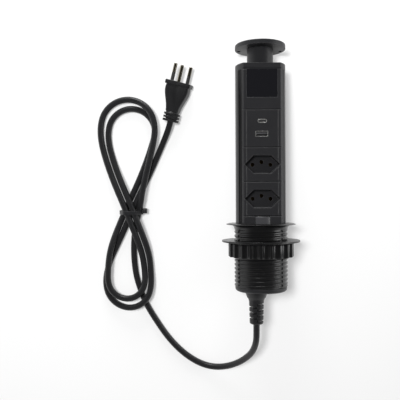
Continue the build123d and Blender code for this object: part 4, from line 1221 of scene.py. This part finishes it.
def contact_parts():
    """The gold strips on the tongues of both outlets: rounded bars along the tongue's faces."""
    parts = []
    for name, count, pitch, width, long, sides in outlet_contacts:
        places = standing(name)
        low, high = places.min(axis=0), places.max(axis=0)
        half = np.array([width / 2, long / 2, contact_thick / 2])
        for side in sides:
            level = (low if side < 0 else high)[2]
            for number in range(count):
                x = (low[0] + high[0]) / 2 + (number - (count - 1) / 2) * pitch
                centre = laid((x, low[1] + contact_back + half[1], level))
                parts.append(superellipsoid(centre, half, contact_power, contact_steps, standing_axes))
    return parts


# Stage


def add_light(name, place, size, power, glossy):
    """A square soft light at a place, turned towards the object, which gloss shows or not."""
    data = bpy.data.lights.new(name, "AREA")
    data.size = size
    data.energy = power
    light = bpy.data.objects.new(name, data)
    light.location = place
    light.rotation_euler = (Vector(light_aim) - Vector(place)).to_track_quat("-Z", "Y").to_euler()
    light.visible_glossy = glossy
    bpy.context.scene.collection.objects.link(light)


def shown_rays(tree, light_path):
    """One for rays that show the stage itself: from the camera, from gloss or through glass."""
    seen = maths(tree, "MAXIMUM", light_path.outputs["Is Camera Ray"], light_path.outputs["Is Glossy Ray"])
    return maths(tree, "MAXIMUM", seen, light_path.outputs["Is Transmission Ray"])


def add_floor(colour):
    """The floor under the object: one wide square that adds a lift to its lit colour where it is seen."""
    material = bpy.data.materials.new("white floor")
    material.use_nodes = True
    tree = material.node_tree
    shader = tree.nodes["Principled BSDF"]
    shader.inputs["Base Color"].default_value = colour
    shader.inputs["Roughness"].default_value = floor_roughness
    shader.inputs["Specular IOR Level"].default_value = floor_specular
    shader.inputs["Emission Color"].default_value = white
    seen = shown_rays(tree, add(tree, "ShaderNodeLightPath"))
    tree.links.new(maths(tree, "MULTIPLY", seen, floor_lift), shader.inputs["Emission Strength"])

    mesh = bpy.data.meshes.new("floor")
    square = [(-floor_half, -floor_half), (floor_half, -floor_half), (floor_half, floor_half),
              (-floor_half, floor_half)]
    mesh.from_pydata([(x, y, floor_level) for x, y in square], [], [(0, 1, 2, 3)])
    mesh.materials.append(material)
    floor = bpy.data.objects.new("floor", mesh)
    bpy.context.scene.collection.objects.link(floor)


def add_world():
    """The world: white to the camera and through glass, a dome in gloss, and a plain light on the object.

    The dome is white up to the horizon's height and falls to its overhead share by a smooth step.
    """
    world = bpy.data.worlds.new("studio")
    bpy.context.scene.world = world
    world.use_nodes = True
    tree = world.node_tree
    background = tree.nodes["Background"]
    path = add(tree, "ShaderNodeLightPath")
    place = add(tree, "ShaderNodeTexCoord")
    split = add(tree, "ShaderNodeSeparateXYZ")
    tree.links.new(place.outputs["Generated"], split.inputs[0])
    span = {"From Min": gloss_horizon, "From Max": gloss_zenith, "To Min": 1.0, "To Max": zenith_gloss}
    dome = add(tree, "ShaderNodeMapRange", span, interpolation_type="SMOOTHSTEP")
    tree.links.new(split.outputs["Z"], dome.inputs["Value"])
    gloss = maths(tree, "MULTIPLY", path.outputs["Is Glossy Ray"], dome.outputs["Result"])
    other = maths(tree, "MAXIMUM", path.outputs["Is Camera Ray"], path.outputs["Is Transmission Ray"])
    shown = maths(tree, "MAXIMUM", gloss, other)
    diffuse = maths(tree, "MULTIPLY", path.outputs["Is Diffuse Ray"], world_light)
    tree.links.new(maths(tree, "ADD", shown, diffuse), background.inputs["Strength"])
    background.inputs["Color"].default_value = white


# Settings


def length_setting(name, description, default):
    """A property for a length in metres."""
    return FloatProperty(
        name=name, description=description, default=default, min=0.0, unit="LENGTH", precision=5
    )


def colour_setting(name, description, slot, depth=1.0):
    """A property for a colour: the record's, times how deep the photograph shows it."""
    default = tuple(depth * part for part in slot_colour(slot)[:3]) + (1.0,)
    return FloatVectorProperty(
        name=name, description=description, default=default, size=4, min=0.0, max=1.0, subtype="COLOR"
    )


class DeskSocketSizes(bpy.types.PropertyGroup):
    """Sizes of the surfaces that this file works out."""

    camera_reach: length_setting("Camera distance", "From the camera to the tower's axis", 0.590)
    camera_left: length_setting("Camera aside", "How far left of the tower the camera stands", 0.06557)
    camera_up: length_setting("Camera above", "How far over the desk flange the camera stands", 0.02662)
    camera_roll: FloatProperty(
        name="Camera roll", description="Turn of the picture", default=math.radians(0.28), subtype="ANGLE"
    )
    thread_pitch: length_setting("Thread pitch", "Climb of the collar's thread in one turn", 0.0044)
    thread_depth: length_setting("Thread depth", "From the thread's crest to its root", 0.0010)
    slot_width: length_setting("Slot width", "Width of the collar's two long slots", 0.0030)
    nut_ribs: IntProperty(name="Nut ribs", description="Ribs round the ring nut", default=20, min=6, max=60)
    tie_width: length_setting("Tie width", "Width of the band round the hank", 0.0046)
    tie_thickness: length_setting("Tie thickness", "Thickness of the band round the hank", 0.0012)
    relief_slot_pitch: length_setting("Relief slot pitch", "From one slot to the next", 0.00295)
    relief_slot_height: length_setting("Relief slot height", "Opening of one slot", 0.0022)
    plug_rim: length_setting("Plug rim", "Thickness of the plug's hexagonal rim", 0.0045)
    plug_grip: length_setting("Plug grip", "From the plug's face to the end of its grip", 0.0330)
    lens: FloatProperty(
        name="Lens", description="Focal length in millimetres", default=49.14, min=10, max=200, unit="CAMERA"
    )


class DeskSocketColours(bpy.types.PropertyGroup):
    """Colours of the finishes."""

    moulding: colour_setting("Moulding", "Tiles, caps and knob", "black_plastic", 0.65)
    profile: colour_setting("Profile", "The tower's extrusion", "tower_metal", 0.46)
    gloss: colour_setting("Panel", "The polished panel", "gloss_black", 0.7)
    button: colour_setting("Button", "The release button", "button_grey", 0.3)
    nut: colour_setting("Nut and collar", "The collar, its ring and its nut", "nut_plastic", 0.25)
    cord: colour_setting("Cord", "The cord's sheath, the plug and the strain relief", "cord_black", 0.8)
    steel: colour_setting("Steel", "The outlets' shells", "steel", 0.6)
    screw: colour_setting("Screws", "All screws", "screw_steel")
    brass: colour_setting("Brass", "Contacts and bus bars", "brass", 0.4)
    pin: colour_setting("Pins", "The plug's pins", "pin_brass", 0.42)
    sleeve: colour_setting("Sleeves", "The sleeves on the line pins", "sleeve_black")
    insulator: colour_setting("Insulator", "Contact blocks and the cord clamp", "insulator")
    tongue: colour_setting("Tongues", "The tongues in the outlets", "tongue_grey", 0.3)
    board: colour_setting("Board", "The charger's board", "board_green")
    component: colour_setting("Parts", "The charger's parts", "component")
    wire: colour_setting("Wires", "Wires and leads", "wire_jacket")
    floor: FloatVectorProperty(
        name="Floor", description="The sweep under the object", default=(0.52, 0.52, 0.52, 1.0), size=4,
        min=0.0, max=1.0, subtype="COLOR",
    )


# Operators


class DESKSOCKET_OT_finishes(bpy.types.Operator):
    """Make every finish, and put it on the solids by their material slot"""

    bl_idname = "desksocket.finishes"
    bl_label = "Finishes"

    def execute(self, context):
        edge_wear_and_highlight_group()
        grain_group()
        tint_group()
        colours = context.scene.desk_socket_colours
        # Each finish's edges turn part way to white, partly as wear and partly as a painted highlight
        for name, (setting, wear_and_highlight_paleness, look) in finish_looks.items():
            colour = tuple(getattr(colours, setting))
            finish_material(name, colour, paler(colour, wear_and_highlight_paleness), look)
        for part in frame["record"]["subparts"]:
            dress(part["node"], finish_for(part["material_slot"]))
        dress("knob_underplate", bpy.data.materials["satin moulding"])
        return {"FINISHED"}


class DESKSOCKET_OT_camera(bpy.types.Operator):
    """Put the camera straight over the tower's front, as the photograph was taken"""

    bl_idname = "desksocket.camera"
    bl_label = "Camera"

    def execute(self, context):
        sizes = context.scene.desk_socket_sizes
        data = bpy.data.cameras.new("camera")
        data.lens = sizes.lens
        camera = bpy.data.objects.new("camera", data)
        context.scene.collection.objects.link(camera)
        place = laid((-sizes.camera_left, -sizes.camera_reach, sizes.camera_up))
        roll = sizes.camera_roll
        aside = tower_right * math.cos(roll) - tower_up * math.sin(roll)
        upward = tower_right * math.sin(roll) + tower_up * math.cos(roll)
        turn = Matrix((aside, upward, tower_front)).transposed().to_4x4()
        camera.matrix_world = Matrix.Translation(place) @ turn
        context.scene.camera = camera
        return {"FINISHED"}


class DESKSOCKET_OT_tie(bpy.types.Operator):
    """Draw the band of the cable tie round the waist of the hank"""

    bl_idname = "desksocket.tie"
    bl_label = "Cable tie"

    def execute(self, context):
        parts = tie_parts(context.scene.desk_socket_sizes)
        make_piece("hank_tie", parts, "tower", "black_plastic", ["cable_tie"])
        return {"FINISHED"}


class DESKSOCKET_OT_plug(bpy.types.Operator):
    """Mould the plug behind its pins"""

    bl_idname = "desksocket.plug"
    bl_label = "Plug"

    def execute(self, context):
        parts = plug_parts(context.scene.desk_socket_sizes)
        make_piece("moulded_plug", parts, "tower", "cord_black", ["plug_body"], sharp_degrees=35)
        return {"FINISHED"}


class DESKSOCKET_OT_relief(bpy.types.Operator):
    """Turn the slotted strain relief that the cord comes out of"""

    bl_idname = "desksocket.relief"
    bl_label = "Strain relief"

    def execute(self, context):
        parts = relief_parts(context.scene.desk_socket_sizes)
        make_piece("slotted_relief", parts, "tower", "cord_black", ["strain_relief"])
        return {"FINISHED"}


class DESKSOCKET_OT_collar(bpy.types.Operator):
    """Cut the threaded collar with its flange and mouth"""

    bl_idname = "desksocket.collar"
    bl_label = "Threaded collar"

    def execute(self, context):
        parts = collar_parts(context.scene.desk_socket_sizes)
        make_piece("threaded_collar", parts, "collar", "nut_plastic", ["collar_tube"], sharp_degrees=50)
        return {"FINISHED"}


class DESKSOCKET_OT_nut(bpy.types.Operator):
    """Shape the ribbed ring nut"""

    bl_idname = "desksocket.nut"
    bl_label = "Ring nut"

    def execute(self, context):
        parts = nut_parts(context.scene.desk_socket_sizes)
        make_piece("ribbed_nut", parts, "lock_nut_body", "nut_plastic", ["lock_nut"], sharp_degrees=50)
        return {"FINISHED"}


class DESKSOCKET_OT_screws(bpy.types.Operator):
    """Set the two cross head screws in the end cap"""

    bl_idname = "desksocket.screws"
    bl_label = "Cap screws"

    def execute(self, context):
        make_piece("cross_head_screws", cap_screw_parts(), "tower", "screw_steel", ["cap_screws"])
        return {"FINISHED"}


class DESKSOCKET_OT_lips(bpy.types.Operator):
    """Roll the steel lips of both outlets"""

    bl_idname = "desksocket.lips"
    bl_label = "Outlet lips"

    def execute(self, context):
        parts = [lip_part(*lip) for lip in outlet_lips]
        make_piece("outlet_lips", parts, "tower", "steel")
        return {"FINISHED"}


class DESKSOCKET_OT_contacts(bpy.types.Operator):
    """Lay the gold contacts on the tongues of both outlets"""

    bl_idname = "desksocket.contacts"
    bl_label = "Outlet contacts"

    def execute(self, context):
        make_piece("outlet_contacts", contact_parts(), "tower", "brass")
        return {"FINISHED"}


class DESKSOCKET_OT_cord(bpy.types.Operator):
    """Lay the mains cord from the strain relief, through its hank, to the plug"""

    bl_idname = "desksocket.cord"
    bl_label = "Cord"

    def execute(self, context):
        route = cord_route()
        data = bpy.data.curves.new("mains_cord", "CURVE")
        data.dimensions = "3D"
        data.resolution_u = cord_steps
        data.bevel_depth = cord_diameter / 2
        data.bevel_resolution = cord_round_steps
        data.use_fill_caps = True
        cord_spline(data, route)
        data.materials.append(finish_for("cord_black"))
        cord = bpy.data.objects.new("mains_cord", data)
        context.scene.collection.objects.link(cord)
        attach(cord, "tower")
        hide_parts("cord_lower", "cord_hank", "cord_upper")
        length = np.linalg.norm(np.diff(cord_line(), axis=0), axis=1).sum()
        return {"FINISHED"}


class DESKSOCKET_OT_stage(bpy.types.Operator):
    """Lay the white floor, and set the world and the soft lights"""

    bl_idname = "desksocket.stage"
    bl_label = "Stage"

    def execute(self, context):
        add_floor(context.scene.desk_socket_colours.floor)
        add_world()
        for light in lights:
            add_light(*light)
        context.scene.view_settings.view_transform = "Standard"
        return {"FINISHED"}


class DESKSOCKET_PT_panel(bpy.types.Panel):
    """All the steps, in the order in which they are run"""

    bl_idname = "DESKSOCKET_PT_panel"
    bl_label = "Desk socket"
    bl_space_type = "VIEW_3D"
    bl_region_type = "UI"
    bl_category = "Desk socket"

    def draw(self, context):
        layout = self.layout
        for step in steps:
            layout.operator(step.bl_idname)
        for settings in (context.scene.desk_socket_sizes, context.scene.desk_socket_colours):
            for key in settings.__annotations__:
                layout.prop(settings, key)


steps = [
    DESKSOCKET_OT_finishes,
    DESKSOCKET_OT_camera,
    DESKSOCKET_OT_tie,
    DESKSOCKET_OT_plug,
    DESKSOCKET_OT_cord,
    DESKSOCKET_OT_relief,
    DESKSOCKET_OT_collar,
    DESKSOCKET_OT_nut,
    DESKSOCKET_OT_screws,
    DESKSOCKET_OT_lips,
    DESKSOCKET_OT_contacts,
    DESKSOCKET_OT_stage,
]
settings_groups = [DeskSocketSizes, DeskSocketColours]


def register():
    """Make the settings, the operators and the panel known."""
    for kind in settings_groups + steps + [DESKSOCKET_PT_panel]:
        bpy.utils.register_class(kind)
    bpy.types.Scene.desk_socket_sizes = PointerProperty(type=DeskSocketSizes)
    bpy.types.Scene.desk_socket_colours = PointerProperty(type=DeskSocketColours)


def unregister():
    """Take them away again, last first."""
    del bpy.types.Scene.desk_socket_colours
    del bpy.types.Scene.desk_socket_sizes
    for kind in reversed(settings_groups + steps + [DESKSOCKET_PT_panel]):
        bpy.utils.unregister_class(kind)


def main():
    """Run every step in its order."""
    register()
    for step in steps:
        group, name = step.bl_idname.split(".")
        getattr(getattr(bpy.ops, group), name)()


if __name__ == "__main__":
    main()
